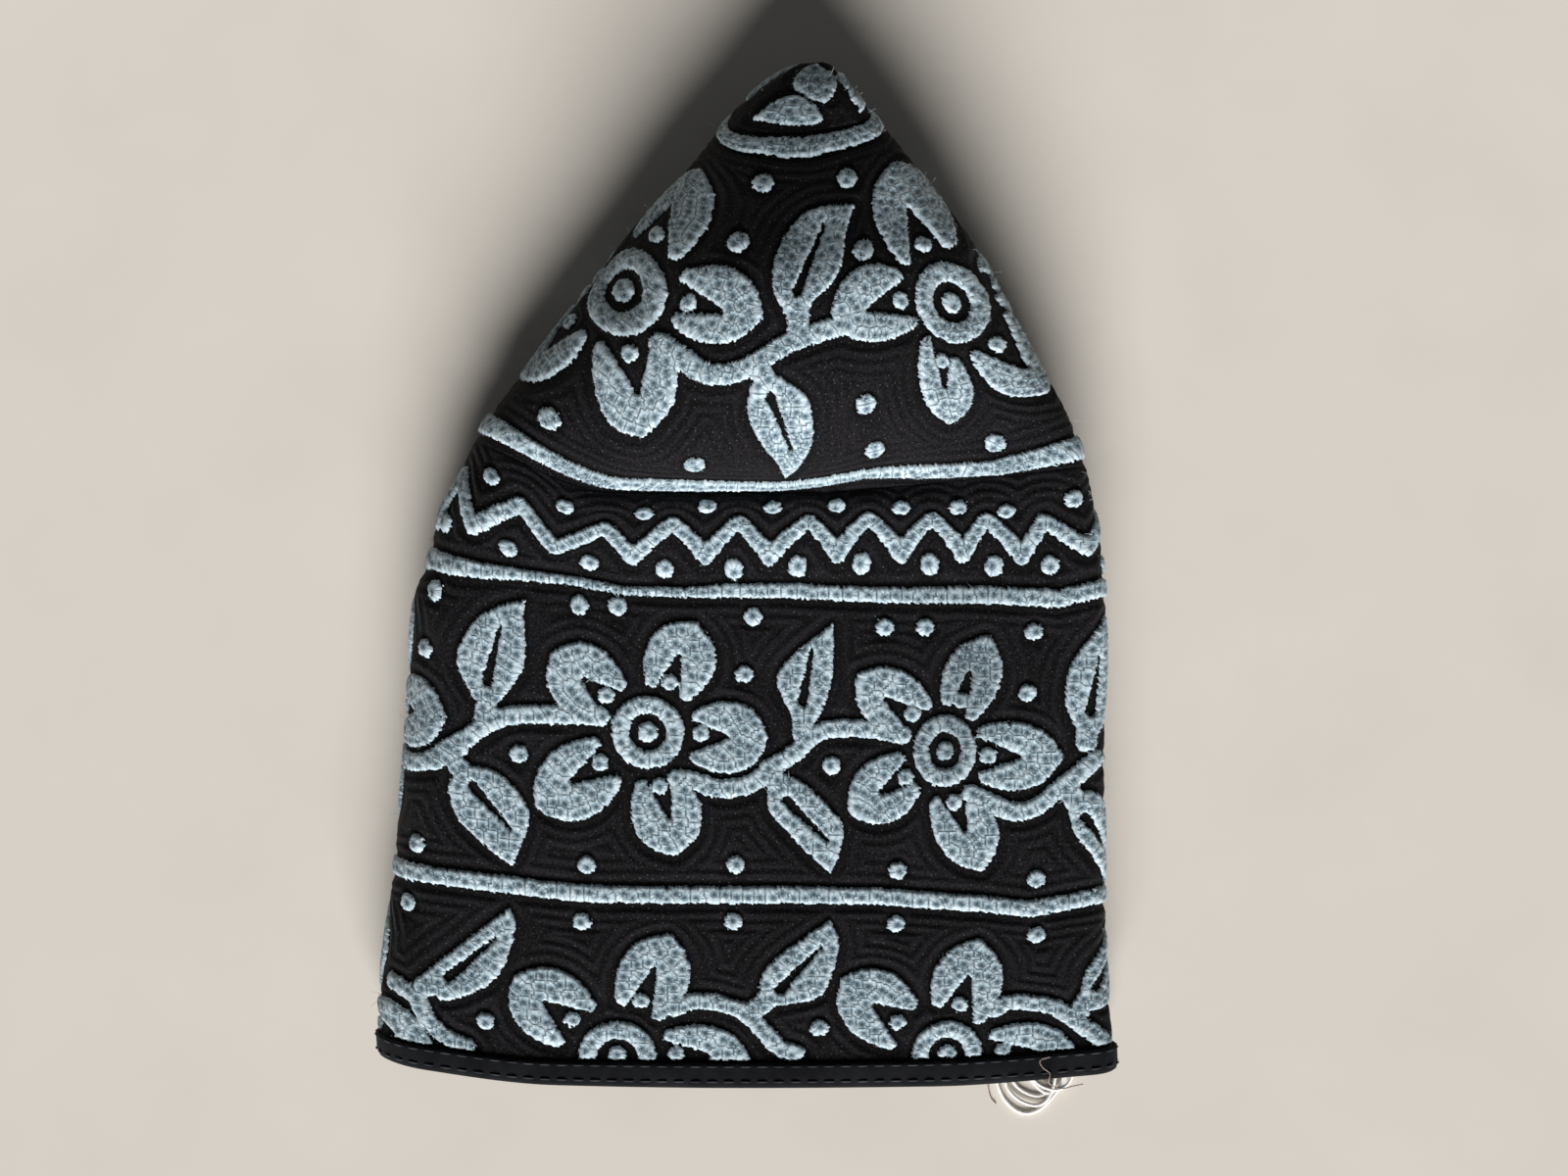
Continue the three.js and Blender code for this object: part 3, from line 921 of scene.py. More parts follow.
    def lower_left(self) -> list[Motif]:
        """The stem and leaf at the left of the lower row's first flower."""
        return [
            leaf((-35.6, 11), [(-35.3, 14)], (-20.1, 28.5), [(-31.2, 9), (-22.3, 15), (-19, 25)],
                 [(-31.3, 13.5), (-22.5, 22.5)]),
            stem((-42.4, 10.5), (-40.4, 10), (-37.2, 8.5), (-35.5, 5), (-33.1, 2.5), (-30.3, 1), (-28, 0.5)),
            *dots((-24.4, 6), (-39.3, 26.5)),
        ]

    def second_lower_flower(self) -> list[Motif]:
        """The second flower of the lower row."""
        return [
            Ring(marks((0, 0)), 5.3, 1.6, 0.93, 0.0),
            *dots((0, 0.4), radius=1.65),
            petal((-1.8, 10.5), (5.8, 6.5), (6.1, 24.5), (4.2, 17), (2.4, 10.5), bulge=2.0),
            petal((-6, 10.5), (-10.1, 2), (-19.4, 16.5), (-13.9, 11), (-9.2, 7)),
            petal((8.4, 3.8), (8.4, -4.5), (24.2, -2.0), (16.8, -0.7), (10.4, 0.4), bulge=2.0),
            stem((8.9, 9), (11.7, 10.5), (15.4, 10), (19.2, 9), (22.1, 7), (26.9, 2.5), (29.5, 0)),
            leaf((24.4, 7.5), [(25.1, 13), (26.8, 18.5)], (34.5, 27.5), [(30, 8), (34.5, 14), (36, 22)],
                 [(27.5, 12.5), (33, 22)]),
            *dots((-9.5, 28), (16.6, 25), (-23.7, 6)),
        ]

    def zigzag(self) -> list[Motif]:
        """The zigzag under the crown's seam, given point by point where it shows and regular round the back.
        """
        shown = [
            (-54.6, 110.5), (-50.3, 101), (-41.4, 108), (-35.3, 100.5), (-25.8, 106), (-20.9, 99.5),
            (-13.3, 107), (-7.4, 100), (-1.2, 107), (4.3, 100), (11.7, 107), (16.9, 100.5), (22.6, 108),
            (28.6, 100.5), (34.2, 108), (40.2, 100.5), (44.2, 107.5), (51.1, 100), (54.9, 106.5),
            (62.9, 101.5),
        ]
        upper = [
            (-47, 111.5), (-33.2, 110), (-18.5, 109.5), (-7, 111), (5, 110.5), (16.8, 111), (28.6, 110.5),
            (39.1, 110.5), (48, 109), (60.5, 110.5),
        ]
        lower = [
            (-56.8, 100.5), (-43.8, 98.5), (-28.8, 98), (-14.9, 97.5), (-2.2, 98), (9.6, 98.5), (21.4, 99),
            (34, 99), (45.8, 98.5), (56.3, 98.5),
        ]
        start, end = shown[-1][0], shown[0][0] + BAND_PERIOD
        step = (end - start) / self.hidden_teeth_turns
        hidden = [
            (start + step * k, self.zigzag_high if k % 2 else self.zigzag_low)
            for k in range(1, self.hidden_teeth_turns)
        ]
        upper += [(q, self.dot_row_high) for q, v in hidden[1:] if v == self.zigzag_low]
        lower += [(q, self.dot_row_low) for q, v in hidden if v == self.zigzag_high]
        turns = shown + hidden + [(end, shown[0][1])]
        teeth = [Stem(marks(a, b), self.zigzag_half_width) for a, b in zip(turns[:-1], turns[1:])]
        return teeth + dots(*upper, *lower)

    def stripes(self) -> list[Stripe]:
        """The stripes above the lower row and above the middle row."""
        low = (
            (-63, 36.5, 1.55), (-43.5, 37, 1.55), (-29, 36.5, 1.55), (7, 37.5, 1.55), (25, 37.5, 1.55),
            (43.4, 36, 1.55), (52.5, 34.5, 1.55), (65, 36.5, 1.55), (-63 + BAND_PERIOD, 36.5, 1.55),
        )
        high = (
            (-60, 94, 1.7), (-53, 93.4, 1.5), (-43.8, 93.6, 1.05), (-33, 93.8, 0.8), (-22, 92.8, 0.7),
            (-11, 93.4, 0.85), (-4, 94.2, 1.15), (7, 94.5, 1.2), (25, 94, 1.25), (43, 94, 1.45),
            (58, 92.5, 1.6), (65.6, 94, 1.6), (-60 + BAND_PERIOD, 94, 1.7),
        )
        return [Stripe(low, BAND_PERIOD), Stripe(high, BAND_PERIOD)]

    def motifs(self) -> list[Motif]:
        """All motifs of the band, once round."""
        made = shifted(self.middle_flower() + self.right_leaves() + self.flower_dots(left=True),
                       (self.first_middle, self.middle_row))
        made += shifted(self.second_flower() + self.second_dots(),
                        (self.second_middle, self.middle_row - self.second_drop))
        made += shifted(self.lower_flower() + self.lower_left(), (self.first_lower, self.lower_row))
        made += shifted(self.second_lower_flower(), (self.second_lower, self.lower_row))
        for k in range(1, self.repeats):
            first, last = k == 1, k == self.repeats - 1
            spine = self.spine_shift if last else 0.0
            middle = (self.second_middle + self.middle_pitch * k + spine, self.middle_row)
            lower = (self.second_lower + self.lower_pitch * k + spine, self.lower_row)
            made += shifted(self.middle_flower(not first) + self.flower_dots(right=not last), middle)
            made += shifted(self.lower_flower(bare=last), lower)
        return made + self.zigzag()

    def from_stripes(self, points: Array) -> Array:
        """Distance to the nearer stripe."""
        return np.min([stripe.distance(points[:, 0], points[:, 1]) for stripe in self.stripes()], axis=0)

    def distance(self, points: Array, reach: float, with_dots: bool = True) -> Array:
        """The same distance, with everything cut off above the binding."""
        return np.maximum(super().distance(points, reach, with_dots), LOWEST_STITCH - points[:, 1])


class CrownPattern(Pattern):
    """The crown's embroidery, charted in millimetres on its flat disc."""

    flower_pitch = math.radians(73.7)
    shown_angles = (math.radians(-37.8), math.radians(27.4))
    hidden_flowers = 3
    # Painted shade on the thread where the crown turns away from the light: under the left flower's ring,
    # along the spine, beside the right flower and round the centre.
    painted_shade_spots = (
        (-35.0, -51.0, 6.0, 3.0, 0.35), (-55.0, -50.0, 6.0, 9.0, 0.3), (-5.0, -9.0, 6.0, 4.0, 0.25),
        (44.0, -42.0, 6.0, 6.0, 0.25), (0.0, -3.0, 4.0, 4.5, 0.6),
    )

    def left_flower(self) -> list[Motif]:
        """The flower at the spine's side, with its stem and leaves."""
        return [
            Ring(marks((-35.4, -44.7)), 5.75, 1.85, 1.0, 1.95),
            petal((-35.1, -33.7), (-26.2, -39.1), (-21.7, -20.2), (-27.5, -28.5), (-29.7, -34.6)),
            petal((-24.8, -42.4), (-26.3, -50.1), (-10.4, -51.6), (-17.4, -50.2), (-23.8, -47.5)),
            petal((-39.5, -54.1), (-29.3, -53.6), (-31.7, -69.7), (-32.7, -62.6), (-34.4, -55.3)),
            petal((-49.4, -44.7), (-42.6, -52.5), (-56.7, -57.2), (-51.1, -54.3), (-46.9, -49.5)),
            petal((-46.5, -42.0), (-43.0, -34.5), (-57.0, -33.0), (-51.0, -35.5), (-45.6, -38.4)),
            stem((-29, -53.8), (-25.5, -56.6), (-22, -59.7), (-18.4, -61.2), (-14.6, -60.9), (-11, -59.4),
                 (-7.2, -57.2), (-2.7, -55.6), (2.8, -54.5), (7.5, -54.2), radius=1.75),
            leaf((-10.8, -60.4),
                 [(-12.6, -64.4), (-13.1, -67.9), (-12.2, -72.1), (-10.2, -75.9), (-7.8, -79.7)],
                 (-6.7, -85.8), [(-4.6, -64.4), (-2.1, -67.1), (-1.2, -72.1), (-1.5, -76.1), (-3.3, -80)],
                 [(-9, -66), (-5.3, -76.4)]),
            leaf((-3.9, -54), [(-7.8, -48.5), (-8.4, -42.8), (-6.8, -37.5), (-3.8, -32.9), (-0.3, -31.1)],
                 (7.2, -31.8), [(-1.3, -49.6), (2.6, -46.5), (4.6, -42.3), (5.1, -38.3), (6.3, -34)],
                 [(-4, -47.4), (1.1, -34.6)]),
        ]

    def right_flower(self) -> list[Motif]:
        """The flower at the pressed edge's side."""
        return [
            Ring(marks((26.1, -49.4)), 5.95, 1.8, 0.9, 1.9),
            petal((17.2, -43.4), (25.8, -38.0), (15.3, -21.8), (18.2, -31.6), (20.9, -39), bulge=2.8),
            petal((16, -45.9), (18.7, -54.5), (2.2, -52.1), (9, -52.3), (16, -50.6)),
            petal((36.6, -48.9), (30.3, -58.7), (45.1, -65), (40.2, -59.9), (34.7, -55.7), bulge=2.0),
            petal((21.2, -57.3), (26.6, -60.5), (26.9, -74.4), (25.1, -66.5), (24.2, -61), bulge=1.6,
                  seed_radius=1.3),
            petal((35.0, -46.5), (31.5, -40.5), (47.0, -38.0), (41.0, -41.0), (35.2, -43.0)),
        ]

    def loose_dots(self) -> list[Motif]:
        """The loose dots between the flowers."""
        return dots(
            (-10.4, -25), (5.9, -25.9), (-15.2, -37.6), (8.8, -41.2), (9.1, -69.5), (11.5, -79.8),
            (-49.1, -66.4), (-23.7, -78.1), (36.6, -77.9), radius=1.95,
        )

    def centre(self) -> list[Motif]:
        """The ring and the small medallion at the crown's centre."""
        moon = Patch(marks((-9.5, -7.5), (-3.6, -4.9), (0.9, -11.1), (-1.3, -12.5), (-5.5, -11.3)))
        disc = Patch(
            marks((-3.1, -3.4), (-2.3, -0.6), (0.0, 0.6), (2.2, -0.8), (2.9, -3.8), (1.7, -7.4), (-1.4, -6.6))
        )
        moons = [m for k in range(4) for m in turned([moon], math.pi / 2 * k)]
        return [Ring(marks((-1.1, -0.6)), 17.4, 2.0, 1.0, 0.0), disc, *moons]

    def from_stripes(self, points: Array) -> Array:
        """Distance to the stripe along the rim, by the disc's angle and the distance from its centre."""
        rows = (
            (-0.6, 90.0, 1.75), (-0.35, 89.7, 1.75), (-0.1, 89.5, 1.35), (0.11, 87.6, 1.15), (0.2, 88.8, 1.5),
            (0.28, 90.0, 1.75), (0.415, 91.6, 1.75), (0.7, 90.0, 1.75), (-0.6 + 2 * math.pi, 90.0, 1.75),
        )
        return Stripe(rows, 2 * math.pi).distance(*polar(points))

    def motifs(self) -> list[Motif]:
        """All motifs of the crown."""
        made = self.left_flower() + self.right_flower() + self.loose_dots() + self.centre()
        hidden = self.left_flower() + dots((-10.4, -25), (-15.2, -37.6), (-23.7, -78.1), (9, -69))
        first, second = self.shown_angles
        for k in range(1, self.hidden_flowers + 1):
            made += turned(hidden, second - first + self.flower_pitch * k)
        return made


# Meshes on the charts

def zipper(first: Array, first_at: Array, second: Array, second_at: Array) -> Array:
    """Joins two lines of vertices with triangles.

    Args:
        first: vertex numbers of the first line.
        first_at: rising places of its vertices.
        second: vertex numbers of the second line.
        second_at: rising places of its vertices.

    Returns:
        Triangles as rows of three vertex numbers, all facing the same way.
    """
    moves = np.concatenate([(first_at[1:] + first_at[:-1]) / 2, (second_at[1:] + second_at[:-1]) / 2 + 1e-6])
    on_first = np.concatenate([np.ones(len(first) - 1, bool), np.zeros(len(second) - 1, bool)])
    on_first = on_first[np.argsort(moves, kind="stable")]
    i, j = np.cumsum(on_first) - on_first, np.cumsum(~on_first) - ~on_first
    next_first = first[np.minimum(i + 1, len(first) - 1)]
    next_second = second[np.minimum(j + 1, len(second) - 1)]
    return np.stack([first[i], np.where(on_first, next_first, next_second), second[j]], axis=1)


def zipped(lines: Sequence[tuple[Array, Array]]) -> Array:
    """Joins each line of vertices with the next."""
    return np.concatenate([zipper(*a, *b) for a, b in zip(lines[:-1], lines[1:])])


class BandGrid:
    """A grid on the band's chart whose columns and rows are finer where the cap shows its face."""

    lap_start = -270.0
    fine_from, fine_to = -78.0, 84.0

    def __init__(self, step: float, hidden_step: float, low: float, high: float) -> None:
        """Chooses the columns and the rows.

        Args:
            step: distance between columns and between rows on the top layer.
            hidden_step: the same distance round the back.
            low: the lowest row's distance from the hem.
            high: the highest row's.
        """
        before = round((self.fine_from - self.lap_start) / hidden_step)
        across = round((self.fine_to - self.fine_from) / step)
        after = round((self.lap_start + BAND_PERIOD - self.fine_to) / hidden_step)
        self.columns = np.concatenate([
            np.linspace(self.lap_start, self.fine_from, before, endpoint=False),
            np.linspace(self.fine_from, self.fine_to, across, endpoint=False),
            np.linspace(self.fine_to, self.lap_start + BAND_PERIOD, after, endpoint=False),
        ])
        fine_rows = np.linspace(low, high, round((high - low) / step) + 1)
        hidden_rows = np.linspace(low, high, round((high - low) / hidden_step) + 1)
        shown = (self.columns >= self.fine_from - 1e-6) & (self.columns <= self.fine_to + 1e-6)
        self.rows = [fine_rows if fine else hidden_rows for fine in shown]

    def mesh(self, start: int = 0) -> tuple[Array, Array, Array, Array]:
        """Makes the grid.

        Args:
            start: the number of the grid's first vertex.

        Returns:
            Charted points, triangles, and the vertex numbers along the lowest and the highest row.
        """
        counts = np.array([len(r) for r in self.rows])
        firsts = start + np.concatenate([[0], np.cumsum(counts)])
        points = [np.stack([np.full(len(r), c), r], 1) for c, r in zip(self.columns, self.rows)]
        lines = [(np.arange(f, f + n), r) for f, n, r in zip(firsts, counts, self.rows)]
        return np.concatenate(points), zipped(lines + lines[:1]), firsts[:-1], firsts[:-1] + counts - 1


class CrownGrid:
    """A grid of rings on the crown's disc, with fewer columns toward the centre and round the back."""

    lap_start = math.radians(-180.0)
    fine_from, fine_to = math.radians(-62.0), math.radians(56.0)
    widest_column = 1.25  # the widest that columns stand apart, as a share of the step
    fewest_columns = 16

    def __init__(self, step: float, rim: float, last: float, hidden_level: int = 1) -> None:
        """Chooses the rings and the columns.

        Args:
            step: distance between rings, and about that between columns.
            rim: the outermost ring's radius.
            last: the innermost ring's radius.
            hidden_level: how often the columns are halved round the back.
        """
        self.radii = np.linspace(rim, last, round((rim - last) / step) + 1)
        self.finest = 2 ** math.ceil(math.log2(2 * math.pi * rim / step / self.widest_column))
        self.step, self.hidden_level = step, hidden_level

    def angles(self, radius: float) -> Array:
        """The places of the columns on a ring."""
        spacing = 2 * math.pi * radius / self.finest
        level = max(0, math.floor(math.log2(max(self.step * self.widest_column / spacing, 1))))
        level = min(level, int(math.log2(self.finest // self.fewest_columns)))
        coarse = 2 ** (level + self.hidden_level)
        steps = np.arange(self.finest)
        place = self.lap_start + 2 * np.pi * steps / self.finest
        shown = (place > self.fine_from) & (place < self.fine_to)
        return place[(shown & (steps % 2**level == 0)) | (steps % coarse == 0)]

    def mesh(self, start: int = 0) -> tuple[Array, Array, tuple[Array, Array], tuple[Array, Array]]:
        """Makes the grid.

        Args:
            start: the number of the grid's first vertex.

        Returns:
            Charted points, triangles, and the first and last ring as vertex numbers and their angles.
        """
        points, lines, count = [], [], start
        for radius in self.radii:
            angle = self.angles(radius)
            points.append(radius * np.stack([np.sin(angle), -np.cos(angle)], 1))
            ring = np.arange(count, count + len(angle))
            lines.append((np.append(ring, ring[0]), np.append(angle, angle[0] + 2 * np.pi)))
            count += len(angle)
        return np.concatenate(points), zipped(lines), lines[0], lines[-1]

    def closed(self) -> tuple[Array, Array, tuple[Array, Array]]:
        """Makes the grid and closes it at the disc's centre.

        Returns:
            Charted points, the last of which is the centre, triangles, and the first ring.
        """
        points, triangles, first, last = self.mesh()
        fan = zipper(*last, np.array([len(points)]), np.array([0.0]))
        return np.concatenate([points, [[0.0, 0.0]]]), np.concatenate([triangles, fan]), first


def cut_inside(points: Array, triangles: Array, depth: Array) -> tuple[Array, Array, Array]:
    """Keeps the part of a charted mesh where depth is over 0, with new vertices along its border.

    Args:
        points: charted points, shape (n, 2).
        triangles: rows of three vertex numbers.
        depth: how far inside the motifs each vertex is.

    Returns:
        The kept points, the kept triangles and the depth of each kept point.
    """
    least_share = 0.04  # how near to a corner an edge is cut
    inside = depth > 0
    count = inside[triangles].sum(axis=1)
    whole = triangles[count == 3]
    one, two = triangles[count == 1], triangles[count == 2]

    def rolled(rows: Array, odd: Array) -> Array:
        """Turns each triangle so that its odd corner comes first."""
        first = np.argmax(odd, axis=1)
        return np.stack([rows[np.arange(len(rows)), (first + k) % 3] for k in range(3)], axis=1)

    one = rolled(one, inside[one])
    two = rolled(two, ~inside[two])
    pairs = np.concatenate([one[:, [0, 1]], one[:, [0, 2]], two[:, [0, 1]], two[:, [0, 2]]])
    keys, index = np.unique(np.sort(pairs, axis=1), axis=0, return_inverse=True)
    index = index.reshape(-1) + len(points)
    a, b = keys.T
    t = np.clip(depth[a] / (depth[a] - depth[b]), least_share, 1 - least_share)[:, None]
    added = points[a] * (1 - t) + points[b] * t
    n, m = len(one), len(two)
    p, q, r, s = index[:n], index[n : 2 * n], index[2 * n : 2 * n + m], index[2 * n + m :]
    pieces = np.concatenate([
        whole,
        np.stack([one[:, 0], p, q], 1),
        np.stack([r, two[:, 1], two[:, 2]], 1),
        np.stack([r, two[:, 2], s], 1),
    ])
    every, depths = np.concatenate([points, added]), np.concatenate([depth, np.zeros(len(added))])
    used, numbers = np.unique(pieces, return_inverse=True)
    return every[used], numbers.reshape(-1, 3), depths[used]


@dataclass(frozen=True)
class StitchPits:
    """The small pits from which the stitches spread, in rows that follow the motifs' borders."""

    spacing: float = 1.85
    row_depth: float = 1.4
    least_depth: float = 0.8
    raggedness: float = 0.12
    seed: int = 11

    def chosen(self, points: Array, depth: Array) -> Array:
        """Chooses pits among charted points, those on the rows first and none too close to another.

        Args:
            points: charted points, shape (n, 2).
            depth: how far inside the motifs each is.

        Returns:
            The pits' charted places.
        """
        row = np.maximum(np.round(depth / self.row_depth), 1) * self.row_depth
        off = np.abs(depth - row) + np.random.default_rng(self.seed).uniform(0, self.raggedness, len(points))
        inside = np.flatnonzero(depth > self.least_depth)
        taken: dict[tuple[int, int], list[Pair]] = {}
        for x, y in points[inside[np.argsort(off[inside])]].tolist():
            i, j = int(x // self.spacing), int(y // self.spacing)
            near = (p for a in (-1, 0, 1) for b in (-1, 0, 1) for p in taken.get((i + a, j + b), ()))
            if all((x - p) ** 2 + (y - q) ** 2 > self.spacing**2 for p, q in near):
                taken.setdefault((i, j), []).append((x, y))
        return np.array([pit for cell in taken.values() for pit in cell])

    def nearest(self, pits: Array, points: Array) -> Array:
        """The place of the pit nearest to each charted point."""
        tree = KDTree(len(pits))
        for number, (x, y) in enumerate(pits.tolist()):
            tree.insert((x, y, 0.0), number)
        tree.balance()
        return pits[[tree.find((x, y, 0.0))[1] for x, y in points.tolist()]]


# Finishes

MATT_COTTON = {"Roughness": 0.9, "Specular IOR Level": 0.12, "Sheen Weight": 0.03}


def set_inputs(tree: NodeTree, node: bpy.types.Node, inputs: dict[str | int, Any]) -> None:
    """Sets or links a node's inputs.

    Args:
        tree: the node tree.
        node: the node.
        inputs: a value, an output or a node whose first output is linked, for each name or number.
    """
    for key, value in inputs.items():
        if isinstance(value, bpy.types.Node):
            value = value.outputs[0]
        if isinstance(value, bpy.types.NodeSocket):
            tree.links.new(value, node.inputs[key])
        else:
            node.inputs[key].default_value = value


def add_node(
    tree: NodeTree,
    kind: str,
    inputs: dict[str | int, Any] | None = None,
    stops: Sequence[tuple[float, str]] = (),
    **settings: Any,
) -> bpy.types.Node:
    """Adds a node, sets it up and links it.

    Args:
        tree: the node tree.
        kind: the node's type, from which ShaderNode is left out.
        inputs: what each input gets, as for set_inputs.
        stops: places and hex colours of a colour ramp.
        settings: the node's properties.

    Returns:
        The node.
    """
    node = tree.nodes.new(kind if "Node" in kind else f"ShaderNode{kind}")
    for name, value in settings.items():
        setattr(node, name, value)
    set_inputs(tree, node, inputs or {})
    for number, (place, code) in enumerate(stops):
        ramp = node.color_ramp.elements
        stop = ramp[number] if number < 2 else ramp.new(place)
        stop.position, stop.color = place, linear(code)
    return node


@dataclass(frozen=True)
class Finish(ABC):
    """A surface finish, made as one material."""

    name: str

    @abstractmethod
    def dress(self, tree: NodeTree, shader: bpy.types.Node) -> None:
        """Fills the material's node tree."""

    def material(self) -> Material:
        """Makes the material."""
        made = bpy.data.materials.new(self.name)
        made.use_nodes = True
        made.node_tree.nodes.clear()
        shader = add_node(made.node_tree, "BsdfPrincipled")
        add_node(made.node_tree, "OutputMaterial", {"Surface": shader})
        self.dress(made.node_tree, shader)
        return made


@dataclass(frozen=True)
class EmbroideryThread(Finish):
    """Mercerised cotton thread in dense pulled stitches.

    Each bundle of stitches leaves a small pit, darkened with painted shade, from which short bright
    strands spread, so the eye reads a pale blue-grey crust with dark pits a little under 2 mm apart.
    """

    name: str = "embroidered_cotton_thread"
    strands_round_pit: float = 2.9  # how finely the turn round a pit is split into strands
    contrast: float = 1.7  # how strongly the strands differ
    full_mm: float = 0.95  # how far from a pit the strands are brightest
    spread: Pair = (-0.1, 1.2)  # the range of tones, about the strands' mean
    seed_spread: float = 900.0
    seed_way: Triple = (1.0, 1.7, 0.0)
    change_outward: float = 0.9  # how much a strand changes on its way from the pit
    bump_mm: float = 0.18
    # From pit to light, the ramp paints shade into each pit; away from it the strands' tones differ at
    # random.
    pit: str = "43545f"
    shade: str = "667a85"
    body: str = "8aa1ac"
    light: str = "d3e2e9"
    # the dark tone that painted shade mixes the thread toward
    painted_shade_colour: str = "1d2830"
    roughness: float = 0.6

    def dress(self, tree: NodeTree, shader: bpy.types.Node) -> None:
        """Builds pits and strands from the way to the nearest pit."""
        chart = add_node(tree, "UVMap", uv_map="chart")
        pit = add_node(tree, "UVMap", uv_map="pit")
        spoke = add_node(tree, "VectorMath", {0: chart, 1: pit}, operation="SUBTRACT")
        away = add_node(tree, "VectorMath", {0: spoke}, operation="LENGTH").outputs["Value"]
        near = add_node(tree, "Math", {0: away, 1: CHART_UNIT / self.full_mm},
                        operation="MULTIPLY", use_clamp=True)
        way = add_node(tree, "VectorMath", {0: spoke}, operation="NORMALIZE")
        wide = add_node(tree, "VectorMath", {0: way, "Scale": self.strands_round_pit},
                        operation="SCALE")
        own = add_node(tree, "VectorMath", {0: pit, "Scale": self.seed_spread}, operation="SCALE")
        seed = add_node(tree, "VectorMath", {0: own, 1: self.seed_way}, operation="DOT_PRODUCT")
        split = add_node(tree, "SeparateXYZ", {0: wide}).outputs
        height = add_node(tree, "Math", {0: near, 1: self.change_outward, 2: seed.outputs["Value"]},
                          operation="MULTIPLY_ADD")
        spot = add_node(tree, "CombineXYZ", {0: split[0], 1: split[1], 2: height})
        strands = add_node(tree, "TexNoise",
                           {"Vector": spot, "Scale": 1.0, "Detail": 2.0, "Roughness": 0.7})
        strand = add_node(tree, "Math", {0: strands, 1: self.contrast, 2: near},
                          operation="MULTIPLY_ADD")
        low, high = (self.contrast / 2 + end for end in self.spread)
        tone = add_node(tree, "MapRange", {"Value": strand, "From Min": low, "From Max": high})
        colour = add_node(tree, "ValToRGB", {"Fac": tone},
                          [(0.0, self.pit), (1.0, self.light), (0.3, self.shade), (0.6, self.body)])
        # Painted shade: the shade attribute mixes the thread toward a dark tone where it turns away from the
        # light.
        shade = add_node(tree, "Attribute", attribute_name="shade").outputs["Fac"]
        shaded = add_node(tree, "Mix", {"Factor": shade, 6: colour, 7: linear(self.painted_shade_colour)},
                          data_type="RGBA")
        raised = add_node(tree, "Bump",
                          {"Strength": 0.8, "Distance": self.bump_mm * MM, "Height": strand})
        set_inputs(tree, shader, {
            "Base Color": shaded.outputs[2], "Normal": raised, "Roughness": self.roughness,
            "Specular IOR Level": 0.3, "Sheen Weight": 0.1, "Sheen Roughness": 0.4,
        })


@dataclass(frozen=True)
class LooseStrand(Finish):
    """Single strands of the same thread, which catch the light and differ a little in tone."""

    name: str = "cotton_thread_strand"
    dull: str = "7f95a0"
    bright: str = "dce9ef"
    tone_mm: float = 0.5

    def dress(self, tree: NodeTree, shader: bpy.types.Node) -> None:
        """Gives each strand its own tone."""
        place = add_node(tree, "TexCoord").outputs["Object"]
        tone = add_node(tree, "TexNoise",
                        {"Vector": place, "Scale": 1 / (self.tone_mm * MM), "Detail": 1.0})
        colour = add_node(tree, "ValToRGB", {"Fac": tone},
                          [(0.35, self.dull), (0.62, self.bright)])
        set_inputs(tree, shader, {"Base Color": colour, "Roughness": 0.5, "Specular IOR Level": 0.35})


